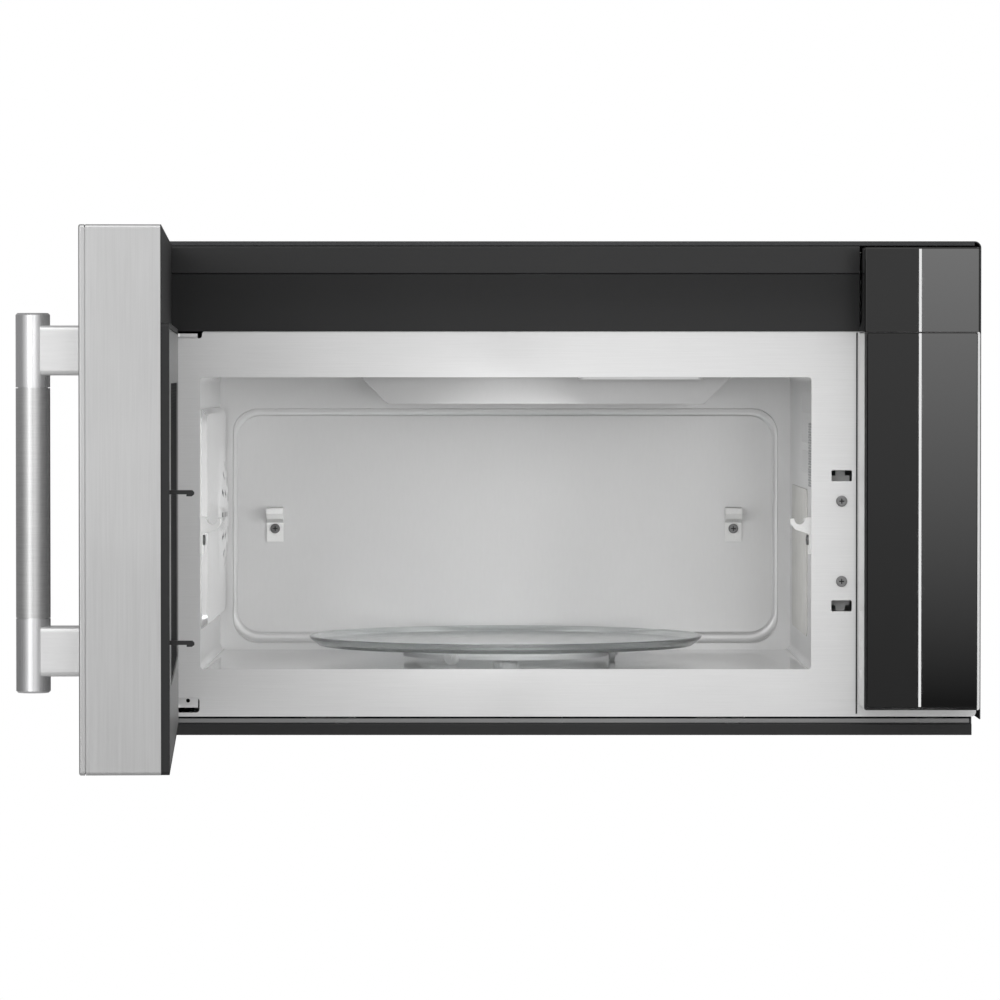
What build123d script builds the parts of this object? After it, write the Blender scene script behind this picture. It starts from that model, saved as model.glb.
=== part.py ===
"""An over the range microwave oven with its door open.

Widths run along X and heights along Z. Depths are given as a distance out from the wall,
so a piece that stands `out` millimetres from the wall lies at Y = -out. Heights are
measured up from the underside of the cabinet. The finished pieces are lowered by half the
height, so that the origin is the middle of the face that is fastened to the wall.
The door is drawn shut, in front of its frame, and then swung open about its hinge pins.
"""
from build123d import *
import os

# ---- cabinet -------------------------------------------------------------------------
HEIGHT = 438.0
BODY_DEPTH = 400.0          # wall to the front of the face frame
COVER_SHEET = 1.0
COVER_CORNER = 6.0
COVER_HEM = 3.8             # folded front edge of the cover's top
COVER_SIDE_BOTTOM = 14.0    # the cover's sides stop this far above the underside
PLATE_SHEET = 1.6           # wall plate
PLATE_MARGIN = 14.0
BACK_SHEET = 1.0
BACK_RECESS = 9.0           # dished field of the back, clear of the wall plate's bolts
BACK_RIM = 26.0
PAN_SHEET = 1.0
PAN_MARGIN = 8.0            # the base pan is this much narrower than the cover, each side
PAN_FLANGE = 10.6
SEAT = 0.1                  # clearance between pieces that are slid into each other

# ---- wall plate slots, ceiling bolts and duct ----------------------------------------
STUD_SPACING = 406.4
SLOT_ROWS = 254.0
SLOT_LENGTH = 22.0
SLOT_RADIUS = 3.6
CEILING_BOLT_SPACING = 508.0
CEILING_BOLT_RADIUS = 3.4
CEILING_BOLT_OUT = 330.0
NUT_ACROSS = 18.0
NUT_HEIGHT = 5.0
DUCT_WIDTH = 254.0
DUCT_DEPTH = 82.6
DUCT_OUT = 90.0
GLAND_X = 320.0
GLAND_OUT = 60.0
GLAND_BORE = 4.6
GLAND_BODY = 9.0
GLAND_FLANGE = 12.5

# ---- face frame ----------------------------------------------------------------------
FRAME_SHEET = 1.2
FRAME_BOTTOM = 16.4
FRAME_TOP = 358.0
FRAME_SIDE_GAP = 4.0
FRAME_CORNER = 4.4
FRAME_LIP = 0.6
NOTCH_TOP = 352.0
NOTCH_END = 68.5            # length of the step in the top edge, from the left side
OPENING_LEFT = 66.6         # left side of the cabinet to the opening
OPENING_WIDTH = 542.0
OPENING_BOTTOM = 58.5
OPENING_HEIGHT = 259.0
OPENING_CORNER = 3.1

# ---- oven cavity ---------------------------------------------------------------------
LINER_SHEET = 1.0
LINER_STEP = 2.0            # the cavity is this much larger than the opening, each way
LINER_BACK_OUT = 22.0       # inner face of the back wall
LINER_CORNER = 8.0
LINER_FLANGE = 8.0
EMBOSS_MARGIN = 12.0
EMBOSS_CORNER = 24.0
EMBOSS_DEPTH = 3.0
EMBOSS_TOP_MARGIN = 32.0
HUMP_OFFSET = 36.0          # middle of the hump, right of the middle of the cavity
HUMP_TOP_WIDTH = 336.0
HUMP_DROP = 26.0
HUMP_FRONT_SETBACK = 50.0
HUMP_BACK_OUT = 60.0
VENT_COLUMNS = 9
VENT_ROWS = 3
VENT_SLOT = (4.0, 20.0)
VENT_PITCH = (15.0, 27.0)
VENT_OUT = 285.0
VENT_UP = 268.0

# ---- door ----------------------------------------------------------------------------
DOOR_GAP = 2.5              # face frame to the back of the shut door
DOOR_THICK = 63.0
PANEL_PROUD = 6.0
DOOR_SIDE_GAP = 2.5
DOOR_COLUMN_GAP = 2.5
DOOR_BOTTOM = 13.5
DOOR_TOP = 434.5
DOOR_SHEET = 1.2
DOOR_CORNER = 2.5
DOOR_BEND = 7.0             # the bend beside the hinges, clear of the top as the door turns
FACE_THICK = 4.5
FACE_GROOVE = 0.8
DOOR_OPEN = 87.2            # how far the door stands open
HINGE_INSET = 20.8
HINGE_FORWARD = 31.0
PIN_RADIUS = 3.0
PIN_CLEARANCE = 0.05
PIN_LENGTH = 9.0
WINDOW_BOTTOM = 76.0
WINDOW_HEIGHT = 236.0
WINDOW_HINGE_SIDE = 18.0    # window's edge inside the oven opening, by the hinges
WINDOW_HANDLE_SIDE = 62.0   # the same, by the handle
WINDOW_CORNER = 10.0
GLASS_THICK = 3.0
TRIM_TOP = 359.5
TRIM_WIDTH = 4.0
TRIM_LATCH_WIDTH = 26.0
CHOKE_LEFT = 52.5
LATCH_SLOT_UP = (114.8, 230.2)
HOOK_BELOW_MIDDLE = 0.4
LATCH_SHIFT = 5.8           # the latch lies this far right of the middle of its panel
LATCH_REACH = 19.0
LATCH_CATCH = 1.5
LATCH_TRAVEL = 3.0
LATCH_THICK = 3.2
LATCH_SPRING = 18.0         # length of the spring under the hook bar
LATCH_WIDTH = 4.0
HANDLE_RADIUS = 13.35
HANDLE_LENGTH = 294.0
HANDLE_BOTTOM = 73.5
HANDLE_STAND_OFF = 37.0
HANDLE_FROM_EDGE = 64.0
GRIP_BOTTOM = 131.0
GRIP_LENGTH = 179.0
GRIP_WALL = 1.8
POST_WIDTH = 28.0
POST_HEIGHT = 38.6
POST_BOTTOMS = (86.4, 319.2)

# ---- control column ------------------------------------------------------------------
LATCH_FIELD = 42.2          # the frame's face between the opening and the column
COLUMN_LEFT = 108.2         # right side of the cabinet to the column's left wall
COLUMN_RIGHT = 7.3
COLUMN_BOTTOM = 26.6
COLUMN_TOP = 431.0
COLUMN_WALL = 2.0
COLUMN_GLASS = 3.5
COLUMN_GLASS_INSET = 2.2
COLUMN_SEAM_UP = 357.3
COLUMN_FILLET = 2.0

# ---- turntable -----------------------------------------------------------------------
TRAY_RADIUS = 181.0
TRAY_THICK = 4.5
TRAY_RIM = 9.0
TRAY_OUT = 212.0
ROLLER_RADIUS = 7.0
ROLLER_WIDTH = 6.0
RING_RADIUS = 98.0          # middle of the rollers' track
RING_BAND = 12.0
RING_THICK = 5.0
ROLLER_COUNT = 3
ROLLER_GAP = 0.3
AXLE_RADIUS = 1.6
AXLE_CLEARANCE = 0.06
COUPLER_RADIUS = 15.0
COUPLER_STEM = 4.0

# ---- places worked out from the sizes ------------------------------------------------
WIDTH = OPENING_LEFT + OPENING_WIDTH + LATCH_FIELD + COLUMN_LEFT
LEFT = -WIDTH / 2
RIGHT = WIDTH / 2
FRAME_BACK_OUT = BODY_DEPTH - FRAME_SHEET
OPENING_LEFT_X = LEFT + OPENING_LEFT
OPENING_RIGHT_X = OPENING_LEFT_X + OPENING_WIDTH
OPENING_TOP = OPENING_BOTTOM + OPENING_HEIGHT
CAVITY_LEFT = OPENING_LEFT_X - LINER_STEP
CAVITY_RIGHT = OPENING_RIGHT_X + LINER_STEP
CAVITY_FLOOR = OPENING_BOTTOM - LINER_STEP
CAVITY_TOP = OPENING_TOP + LINER_STEP
CAVITY_X = (CAVITY_LEFT + CAVITY_RIGHT) / 2
LINER_FRONT_OUT = FRAME_BACK_OUT
COLUMN_X0 = RIGHT - COLUMN_LEFT
COLUMN_X1 = RIGHT - COLUMN_RIGHT
DOOR_BACK_OUT = BODY_DEPTH + DOOR_GAP + PANEL_PROUD
DOOR_FACE_OUT = DOOR_BACK_OUT + DOOR_THICK
DOOR_LEFT = LEFT + DOOR_SIDE_GAP
DOOR_RIGHT = COLUMN_X0 - DOOR_COLUMN_GAP
FACE_BACK_OUT = DOOR_FACE_OUT - FACE_THICK
HINGE_X = LEFT + HINGE_INSET
HINGE_OUT = BODY_DEPTH + HINGE_FORWARD
WINDOW_X0 = OPENING_LEFT_X + WINDOW_HINGE_SIDE
WINDOW_X1 = OPENING_RIGHT_X - WINDOW_HANDLE_SIDE
WINDOW_TOP = WINDOW_BOTTOM + WINDOW_HEIGHT
LATCH_X = (OPENING_RIGHT_X + COLUMN_X0) / 2 + LATCH_SHIFT
LATCH_HOOK_UP = tuple(up - HOOK_BELOW_MIDDLE for up in LATCH_SLOT_UP)
HANDLE_X = DOOR_RIGHT - HANDLE_FROM_EDGE
HANDLE_OUT = DOOR_FACE_OUT + HANDLE_STAND_OFF


# ---- drawing helpers -----------------------------------------------------------------
def closed(*points):
    """A flat outline through the points, wound so that it always extrudes forward."""
    ahead = points[1:] + points[:1]
    turn = sum(a[0] * b[1] - b[0] * a[1] for a, b in zip(points, ahead))
    if turn < 0:
        points = points[::-1]
    return Polygon(*points, align=None)


def upright(x0, x1, z0, z1, out, thick, corner=0.0):
    """A plate parallel to the wall, from `out` forward by `thick`."""
    middle = Pos((x0 + x1) / 2, (z0 + z1) / 2)
    if corner:
        outline = RectangleRounded(x1 - x0, z1 - z0, corner)
    else:
        outline = Rectangle(x1 - x0, z1 - z0)
    return extrude(Plane.XZ.offset(out) * (middle * outline), thick)


def level(x0, x1, out0, out1, z, thick, corner=0.0):
    """A horizontal plate, from height z up by `thick`."""
    middle = Pos((x0 + x1) / 2, -(out0 + out1) / 2)
    if corner:
        outline = RectangleRounded(x1 - x0, out1 - out0, corner)
    else:
        outline = Rectangle(x1 - x0, out1 - out0)
    return extrude(Plane.XY.offset(z) * (middle * outline), thick)


def side(out0, out1, z0, z1, x, thick, corner=0.0):
    """A plate parallel to the cabinet's sides, from x to the right by `thick`."""
    middle = Pos(-(out0 + out1) / 2, (z0 + z1) / 2)
    if corner:
        outline = RectangleRounded(out1 - out0, z1 - z0, corner)
    else:
        outline = Rectangle(out1 - out0, z1 - z0)
    return extrude(Plane.YZ.offset(x) * (middle * outline), thick)


def upright_rod(x, out, z, radius, length):
    """A round rod standing on height z."""
    return extrude(Plane.XY.offset(z) * (Pos(x, -out) * Circle(radius)), length)


def forward_rod(x, z, out, radius, length):
    """A round rod that runs from `out` towards the front."""
    return extrude(Plane.XZ.offset(out) * (Pos(x, z) * Circle(radius)), length)


def cross_rod(out, z, x, radius, length):
    """A round rod that runs from x to the right."""
    return extrude(Plane.YZ.offset(x) * (Pos(-out, z) * Circle(radius)), length)


def group(*solids):
    """Several separate solids that are one named piece."""
    found = []
    for item in solids:
        found.extend(item.solids())
    return Compound(found)


def pan_screw(place, head_radius, head_height, shank_radius, shank_length):
    """A pan head screw; the head stands on the XY plane of `place`, the shank goes below."""
    head = Cylinder(head_radius, head_height, align=(Align.CENTER, Align.CENTER, Align.MIN))
    head = fillet(head.edges().sort_by(Axis.Z)[-1:], head_height * 0.45)
    shank = Cylinder(shank_radius, shank_length, align=(Align.CENTER, Align.CENTER, Align.MAX))
    cross = Pos(0, 0, head_height) * (Box(head_radius, 1.2, 1.6) + Box(1.2, head_radius, 1.6))
    return place * (head + shank - cross)


# ---- cabinet: wall plate, back, cover, base ------------------------------------------
PLATE_X0 = LEFT + PLATE_MARGIN
PLATE_X1 = RIGHT - PLATE_MARGIN
PLATE_Z0 = FRAME_BOTTOM + PLATE_MARGIN
PLATE_Z1 = HEIGHT - PLATE_MARGIN
MIDDLE_UP = HEIGHT / 2


def make_wall_plate():
    plate = upright(PLATE_X0, PLATE_X1, PLATE_Z0, PLATE_Z1, 0, PLATE_SHEET, 8)
    studs = GridLocations(STUD_SPACING, SLOT_ROWS, 2, 2)
    for spot in studs:
        slot = Pos(0, MIDDLE_UP) * spot * SlotOverall(SLOT_LENGTH, 2 * SLOT_RADIUS)
        plate -= extrude(Plane.XZ * slot, PLATE_SHEET)
    for turn in (-1, 1):
        edges = sorted((turn * 30, turn * (STUD_SPACING / 2 - 30)))
        plate -= upright(*edges, MIDDLE_UP - 60, MIDDLE_UP + 60, 0, PLATE_SHEET, 12)
    return plate


def make_back_panel():
    x0 = LEFT + COVER_SHEET + SEAT
    x1 = RIGHT - COVER_SHEET - SEAT
    z0 = COVER_SIDE_BOTTOM
    z1 = HEIGHT - COVER_SHEET - SEAT
    rim = upright(x0, x1, z0, z1, PLATE_SHEET, BACK_SHEET, COVER_CORNER)
    dish = upright(x0 + BACK_RIM, x1 - BACK_RIM, z0 + BACK_RIM, z1 - BACK_RIM,
                   PLATE_SHEET, BACK_RECESS + BACK_SHEET, 14)
    hollow = upright(x0 + BACK_RIM + BACK_SHEET, x1 - BACK_RIM - BACK_SHEET,
                     z0 + BACK_RIM + BACK_SHEET, z1 - BACK_RIM - BACK_SHEET,
                     PLATE_SHEET, BACK_RECESS, 13)
    return rim + dish - hollow


def make_cabinet_cover():
    """Top and both sides in one folded sheet, with a hem along the top's front edge."""
    outer = Rectangle(WIDTH, HEIGHT - COVER_SIDE_BOTTOM, align=(Align.CENTER, Align.MIN))
    outer = fillet(outer.vertices().group_by(Axis.Y)[-1], COVER_CORNER)
    inner = Rectangle(WIDTH - 2 * COVER_SHEET, HEIGHT - COVER_SIDE_BOTTOM - COVER_SHEET,
                      align=(Align.CENTER, Align.MIN))
    inner = fillet(inner.vertices().group_by(Axis.Y)[-1], COVER_CORNER - COVER_SHEET)
    back = PLATE_SHEET
    section = Pos(0, COVER_SIDE_BOTTOM) * (outer - inner)
    cover = extrude(Plane.XZ.offset(back) * section, FRAME_BACK_OUT - back)
    cover += upright(LEFT + COVER_CORNER, RIGHT - COVER_CORNER, HEIGHT - COVER_HEM,
                     HEIGHT - COVER_SHEET / 2, FRAME_BACK_OUT - COVER_SHEET, COVER_SHEET)
    top = HEIGHT - COVER_SHEET
    cover -= level(-DUCT_WIDTH / 2, DUCT_WIDTH / 2, DUCT_OUT - DUCT_DEPTH / 2,
                   DUCT_OUT + DUCT_DEPTH / 2, top, COVER_SHEET, 4)
    for x in (-CEILING_BOLT_SPACING / 2, CEILING_BOLT_SPACING / 2):
        cover -= upright_rod(x, CEILING_BOLT_OUT, top, CEILING_BOLT_RADIUS, COVER_SHEET)
    cover -= upright_rod(GLAND_X, GLAND_OUT, top, GLAND_BODY, COVER_SHEET)
    return cover


def make_nut_plates():
    """The two nuts welded under the top, for the bolts from the cabinet above."""
    nuts = []
    for x in (-CEILING_BOLT_SPACING / 2, CEILING_BOLT_SPACING / 2):
        outline = RegularPolygon(NUT_ACROSS / 2, 6, major_radius=False)
        outline -= Circle(CEILING_BOLT_RADIUS)
        seat = Plane.XY.offset(HEIGHT - COVER_SHEET - NUT_HEIGHT)
        nuts.append(extrude(seat * (Pos(x, -CEILING_BOLT_OUT) * outline), NUT_HEIGHT))
    return group(*nuts)


def make_cord_gland():
    """The plastic bushing in the top where the supply lead enters."""
    lip = 2.0
    body = GLAND_BODY - SEAT
    section = closed(
        (GLAND_BORE, -6.0), (body - 1.0, -6.0), (body, 0), (body, COVER_SHEET),
        (GLAND_FLANGE, COVER_SHEET), (GLAND_FLANGE, COVER_SHEET + lip),
        (GLAND_BORE + 1.0, COVER_SHEET + lip), (GLAND_BORE, COVER_SHEET + 1.0))
    ring = revolve(Plane.XZ * section, Axis.Z)
    return Pos(GLAND_X, -GLAND_OUT, HEIGHT - COVER_SHEET) * ring


FILTER_WIDTH = 290.0
FILTER_DEPTH = 125.0
FILTER_THICK = 9.0
FILTER_X = (-195.0, 155.0)
FILTER_LEDGE = 8.0
FILTER_TRAVEL = 12.0
LENS_WIDTH = 84.0
LENS_DEPTH = 52.0
LENS_THICK = 2.5
LENS_OUT = BODY_DEPTH - 55.0
FILTER_TO_LENS = 34.5
FILTER_OUT = LENS_OUT - LENS_DEPTH / 2 - FILTER_TO_LENS - FILTER_DEPTH / 2
LAMP_RADIUS = 11.0
PAN_X0 = LEFT + PAN_MARGIN
PAN_X1 = RIGHT - PAN_MARGIN


def make_base_pan():
    """The bottom sheet, with a flange at the front and rails that carry the filters."""
    back = PLATE_SHEET + BACK_SHEET
    pan = level(PAN_X0, PAN_X1, back, FRAME_BACK_OUT, 0, PAN_SHEET)
    pan += upright(PAN_X0, PAN_X1, 0, PAN_FLANGE, FRAME_BACK_OUT - PAN_SHEET, PAN_SHEET)
    pan += upright(PAN_X0, PAN_X1, 0, COVER_SIDE_BOTTOM, back, PAN_SHEET)
    for x in (PAN_X0, PAN_X1 - PAN_SHEET):
        pan += side(back, FRAME_BACK_OUT, 0, COVER_SIDE_BOTTOM + 10, x, PAN_SHEET)
    for x in FILTER_X:
        half = FILTER_WIDTH / 2
        pan -= level(x - half + FILTER_TRAVEL + FILTER_LEDGE, x + half - FILTER_LEDGE,
                     FILTER_OUT - FILTER_DEPTH / 2 + FILTER_LEDGE,
                     FILTER_OUT + FILTER_DEPTH / 2 - FILTER_LEDGE, 0, PAN_SHEET, 6)
        for out in (FILTER_OUT - FILTER_DEPTH / 2 - 2.0, FILTER_OUT + FILTER_DEPTH / 2 + 0.5):
            pan += level(x - half, x + half + FILTER_TRAVEL, out, out + 1.5, PAN_SHEET,
                         FILTER_THICK)
        pan -= level(x - LENS_WIDTH / 2 + 4, x + LENS_WIDTH / 2 - 4, LENS_OUT - LENS_DEPTH / 2 + 4,
                     LENS_OUT + LENS_DEPTH / 2 - 4, 0, PAN_SHEET, 6)
    return pan


def make_filter(x):
    """A grease filter: a rolled frame round a sheet of expanded aluminium with ribs."""
    x0 = x - FILTER_WIDTH / 2
    x1 = x + FILTER_WIDTH / 2
    out0 = FILTER_OUT - FILTER_DEPTH / 2
    out1 = FILTER_OUT + FILTER_DEPTH / 2
    rim = level(x0, x1, out0, out1, PAN_SHEET, FILTER_THICK, 4)
    rim -= level(x0 + 7, x1 - 7, out0 + 7, out1 - 7, PAN_SHEET, FILTER_THICK, 3)
    mesh = level(x0 + 6, x1 - 6, out0 + 6, out1 - 6, PAN_SHEET + 3.5, 2)
    for step in range(1, 12):
        rib_x = x0 + step * FILTER_WIDTH / 12
        mesh += level(rib_x - 1, rib_x + 1, out0 + 6, out1 - 6, PAN_SHEET + 2, 5)
    pull = level(x - 9, x + 9, out0 + 6, out0 + 30, PAN_SHEET + 2, 5, 4)
    pull -= level(x - 6, x + 6, out0 + 12, out0 + 27, PAN_SHEET, 8, 4)
    return rim + mesh + pull


def make_lamp_lenses():
    lenses = []
    for x in FILTER_X:
        lens = level(x - LENS_WIDTH / 2, x + LENS_WIDTH / 2, LENS_OUT - LENS_DEPTH / 2,
                     LENS_OUT + LENS_DEPTH / 2, PAN_SHEET, LENS_THICK, 8)
        lenses.append(lens)
    return group(*lenses)


def small_bulb(length):
    """A glass bulb on its base, standing on the origin."""
    profile = Polyline((0, 0), (6, 0), (6, 0.38 * length))
    profile += Spline((6, 0.38 * length), (LAMP_RADIUS, 0.75 * length), (0, length))
    profile += Line((0, length), (0, 0))
    return revolve(Plane.XZ * make_face(profile), Axis.Z)


def make_cooktop_lamps():
    """Two small screw-in lamps lying on their sides above the lenses."""
    lamps = []
    for x in FILTER_X:
        up = PAN_SHEET + LENS_THICK + LAMP_RADIUS + 3
        bracket = side(LENS_OUT - 14, LENS_OUT + 14, PAN_SHEET + LENS_THICK, up + 8, x - 31, 5, 2)
        lamps.append(Pos(x - 26, -LENS_OUT, up) * Rot(0, 90, 0) * small_bulb(48) + bracket)
    return group(*lamps)


# ---- face frame and oven cavity ------------------------------------------------------
SLOT_HEIGHT = 9.8
SLOT_WIDTH = 18.2
FRAME_SCREW_UP = (136.5, 207.7)
FRAME_SCREW_HEAD = 4.9
FRAME_SCREW_HIGH = 1.9
FRAME_SCREW_SHANK = 1.9
HINGE_HOLE = (LEFT + 45.4, LEFT + 65.8, 20.0, 33.0)
HARNESS_HOLE = (COLUMN_X0 + 14, COLUMN_X1 - 14, 70.0, 320.0)


def latch_slots(out, thick, grow=0.0):
    cut = Part()
    for middle in LATCH_SLOT_UP:
        cut += upright(LATCH_X - SLOT_WIDTH / 2 - grow, LATCH_X + SLOT_WIDTH / 2 + grow,
                       middle - SLOT_HEIGHT / 2 - grow, middle + SLOT_HEIGHT / 2 + grow,
                       out, thick, 1.2)
    return cut


def make_face_frame():
    """The stamped front of the oven: a flat sheet with an inward lip round the opening."""
    x0 = LEFT + FRAME_SIDE_GAP
    x1 = RIGHT - FRAME_SIDE_GAP
    frame = upright(x0, x1, FRAME_BOTTOM, FRAME_TOP, FRAME_BACK_OUT, FRAME_SHEET, FRAME_CORNER)
    notch = upright(x0 - 1, LEFT + NOTCH_END, NOTCH_TOP, FRAME_TOP + 1, FRAME_BACK_OUT,
                    FRAME_SHEET)
    frame -= notch
    step = frame.edges().filter_by(Axis.Y)
    step = step.filter_by(lambda e: abs(e.center().X - LEFT - NOTCH_END) < 0.01)
    frame = fillet(step, 2.4)
    lip_in = upright(OPENING_LEFT_X, OPENING_RIGHT_X, OPENING_BOTTOM, OPENING_TOP,
                     FRAME_BACK_OUT - FRAME_LIP, FRAME_LIP + FRAME_SHEET, OPENING_CORNER)
    lip = upright(OPENING_LEFT_X - FRAME_SHEET, OPENING_RIGHT_X + FRAME_SHEET,
                  OPENING_BOTTOM - FRAME_SHEET, OPENING_TOP + FRAME_SHEET,
                  FRAME_BACK_OUT - FRAME_LIP, FRAME_LIP + FRAME_SHEET / 2,
                  OPENING_CORNER + FRAME_SHEET)
    frame = frame + lip - lip_in
    frame -= latch_slots(FRAME_BACK_OUT, FRAME_SHEET)
    for up in FRAME_SCREW_UP:
        frame -= forward_rod(LATCH_X, up, FRAME_BACK_OUT, FRAME_SCREW_SHANK + 0.3, FRAME_SHEET)
    frame -= upright(*HINGE_HOLE, FRAME_BACK_OUT, FRAME_SHEET, 3)
    return frame - upright(*HARNESS_HOLE, FRAME_BACK_OUT, FRAME_SHEET, 8)


def vent_places():
    """Where the slots of the right wall's exhaust vent lie: out from the wall, and up."""
    for column in range(VENT_COLUMNS):
        for row in range(VENT_ROWS):
            out = VENT_OUT + (column - (VENT_COLUMNS - 1) / 2) * VENT_PITCH[0]
            up = VENT_UP + (row - (VENT_ROWS - 1) / 2) * VENT_PITCH[1]
            yield out, up


HUMP_X = CAVITY_X + HUMP_OFFSET
HUMP_FRONT_OUT = BODY_DEPTH - HUMP_FRONT_SETBACK
WAVE_OUT = (120.0, 255.0)
WAVE_UP = (102.0, 198.0)
INLET_OUT = 105.0
INLET_UP = 189.0
INLET_RADIUS = 67.0
LAMP_VENT = (23.0, 133.0, BODY_DEPTH - 43.0, BODY_DEPTH - 8.0)


def make_cavity_liner():
    """The oven box, open at the front, with a drawn field in its back wall."""
    outer = Rectangle(CAVITY_RIGHT - CAVITY_LEFT + 2 * LINER_SHEET,
                      CAVITY_TOP - CAVITY_FLOOR + 2 * LINER_SHEET)
    outer = fillet(outer.vertices(), LINER_CORNER)
    inner = fillet(Rectangle(CAVITY_RIGHT - CAVITY_LEFT, CAVITY_TOP - CAVITY_FLOOR).vertices(),
                   LINER_CORNER - LINER_SHEET)
    middle = Pos(CAVITY_X, (CAVITY_FLOOR + CAVITY_TOP) / 2)
    depth = LINER_FRONT_OUT - LINER_BACK_OUT
    box = extrude(Plane.XZ.offset(LINER_BACK_OUT - LINER_SHEET) * (middle * outer),
                  depth + LINER_SHEET)
    room = extrude(Plane.XZ.offset(LINER_BACK_OUT) * (middle * inner), depth)
    flange = upright(CAVITY_LEFT - LINER_FLANGE, CAVITY_RIGHT + LINER_FLANGE,
                     CAVITY_FLOOR - LINER_FLANGE, CAVITY_TOP + LINER_FLANGE,
                     LINER_FRONT_OUT - LINER_SHEET, LINER_SHEET, 4)
    field_w = CAVITY_RIGHT - CAVITY_LEFT - 2 * EMBOSS_MARGIN
    field_h = CAVITY_TOP - CAVITY_FLOOR - EMBOSS_MARGIN / 2 - EMBOSS_TOP_MARGIN
    field_up = CAVITY_FLOOR + EMBOSS_MARGIN / 2 + field_h / 2
    field = Plane.XZ.offset(LINER_BACK_OUT) * (
        Pos(CAVITY_X, field_up) * RectangleRounded(field_w, field_h, EMBOSS_CORNER))
    pressing = extrude(field, -EMBOSS_DEPTH, taper=45)
    backing = Plane.XZ.offset(LINER_BACK_OUT - LINER_SHEET) * (
        Pos(CAVITY_X, field_up)
        * RectangleRounded(field_w + 1.2, field_h + 1.2, EMBOSS_CORNER + 0.6))
    liner = box + flange + extrude(backing, -EMBOSS_DEPTH, taper=45) - room - pressing
    liner -= level(HUMP_X - HUMP_TOP_WIDTH / 2, HUMP_X + HUMP_TOP_WIDTH / 2, HUMP_BACK_OUT,
                   HUMP_FRONT_OUT, CAVITY_TOP, LINER_SHEET)
    vent = LAMP_VENT
    liner -= level(vent[0] + 8, vent[1] - 8, vent[2] + 8, vent[3] - 8, CAVITY_TOP, LINER_SHEET, 5)
    for out, up in vent_places():
        liner -= side(out - VENT_SLOT[0] / 2, out + VENT_SLOT[0] / 2, up - VENT_SLOT[1] / 2,
                      up + VENT_SLOT[1] / 2, CAVITY_RIGHT, LINER_SHEET)
    liner -= side(*WAVE_OUT, *WAVE_UP, CAVITY_RIGHT, LINER_SHEET, 6)
    liner -= cross_rod(INLET_OUT, INLET_UP, CAVITY_LEFT - LINER_SHEET, INLET_RADIUS, LINER_SHEET)
    return liner - upright_rod(CAVITY_X, TRAY_OUT, CAVITY_FLOOR - LINER_SHEET,
                               COUPLER_STEM + 1.5, LINER_SHEET)


def make_ceiling_hump():
    """The pressed box that hangs below the ceiling, with sides that slope at 45 degrees."""
    half = HUMP_TOP_WIDTH / 2
    drop = HUMP_DROP

    def trough(shrink):
        outline = closed((-half + shrink, 0), (half - shrink, 0),
                          (half - drop, -drop + shrink), (drop - half, -drop + shrink))
        return Pos(HUMP_X, CAVITY_TOP) * outline

    length = HUMP_FRONT_OUT - HUMP_BACK_OUT - 2 * SEAT
    sheet = LINER_SHEET
    body = extrude(Plane.XZ.offset(HUMP_BACK_OUT + SEAT) * trough(0.2), length)
    room = extrude(Plane.XZ.offset(HUMP_BACK_OUT + SEAT + sheet) * trough(1.3 * sheet),
                   length - 2 * sheet)
    neck_x = half - 0.4
    neck = level(HUMP_X - neck_x, HUMP_X + neck_x, HUMP_BACK_OUT + SEAT, HUMP_FRONT_OUT - SEAT,
                 CAVITY_TOP, LINER_SHEET)
    flange = level(HUMP_X - half - 8, HUMP_X + half + 8, HUMP_BACK_OUT - 8, HUMP_FRONT_OUT + 6,
                   CAVITY_TOP + LINER_SHEET, sheet)
    bore = level(HUMP_X - neck_x + 2, HUMP_X + neck_x - 2, HUMP_BACK_OUT + 2, HUMP_FRONT_OUT - 2,
                 CAVITY_TOP, 2 * LINER_SHEET)
    return body - room + neck + flange - bore


def make_lamp_cover():
    """The shallow perforated tray under the oven lamp."""
    x0, x1, out0, out1 = LAMP_VENT
    drop = 4.0
    tray = level(x0, x1, out0, out1, CAVITY_TOP - drop, drop, 5)
    tray -= level(x0 + 1.5, x1 - 1.5, out0 + 1.5, out1 - 1.5, CAVITY_TOP - drop + 1, drop, 3.5)
    for column in range(10):
        for row in range(2):
            x = x0 + 10 + column * (x1 - x0 - 20) / 9
            out = out0 + 12 + row * (out1 - out0 - 24)
            tray -= level(x - 2, x + 2, out - 5, out + 5, CAVITY_TOP - drop, 1)
    return tray


INLET_RISE = 6.0
INLET_RAISED = 6.0
FAN_COVER = (34.0, 362.0, 92.0, 289.0)


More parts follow.
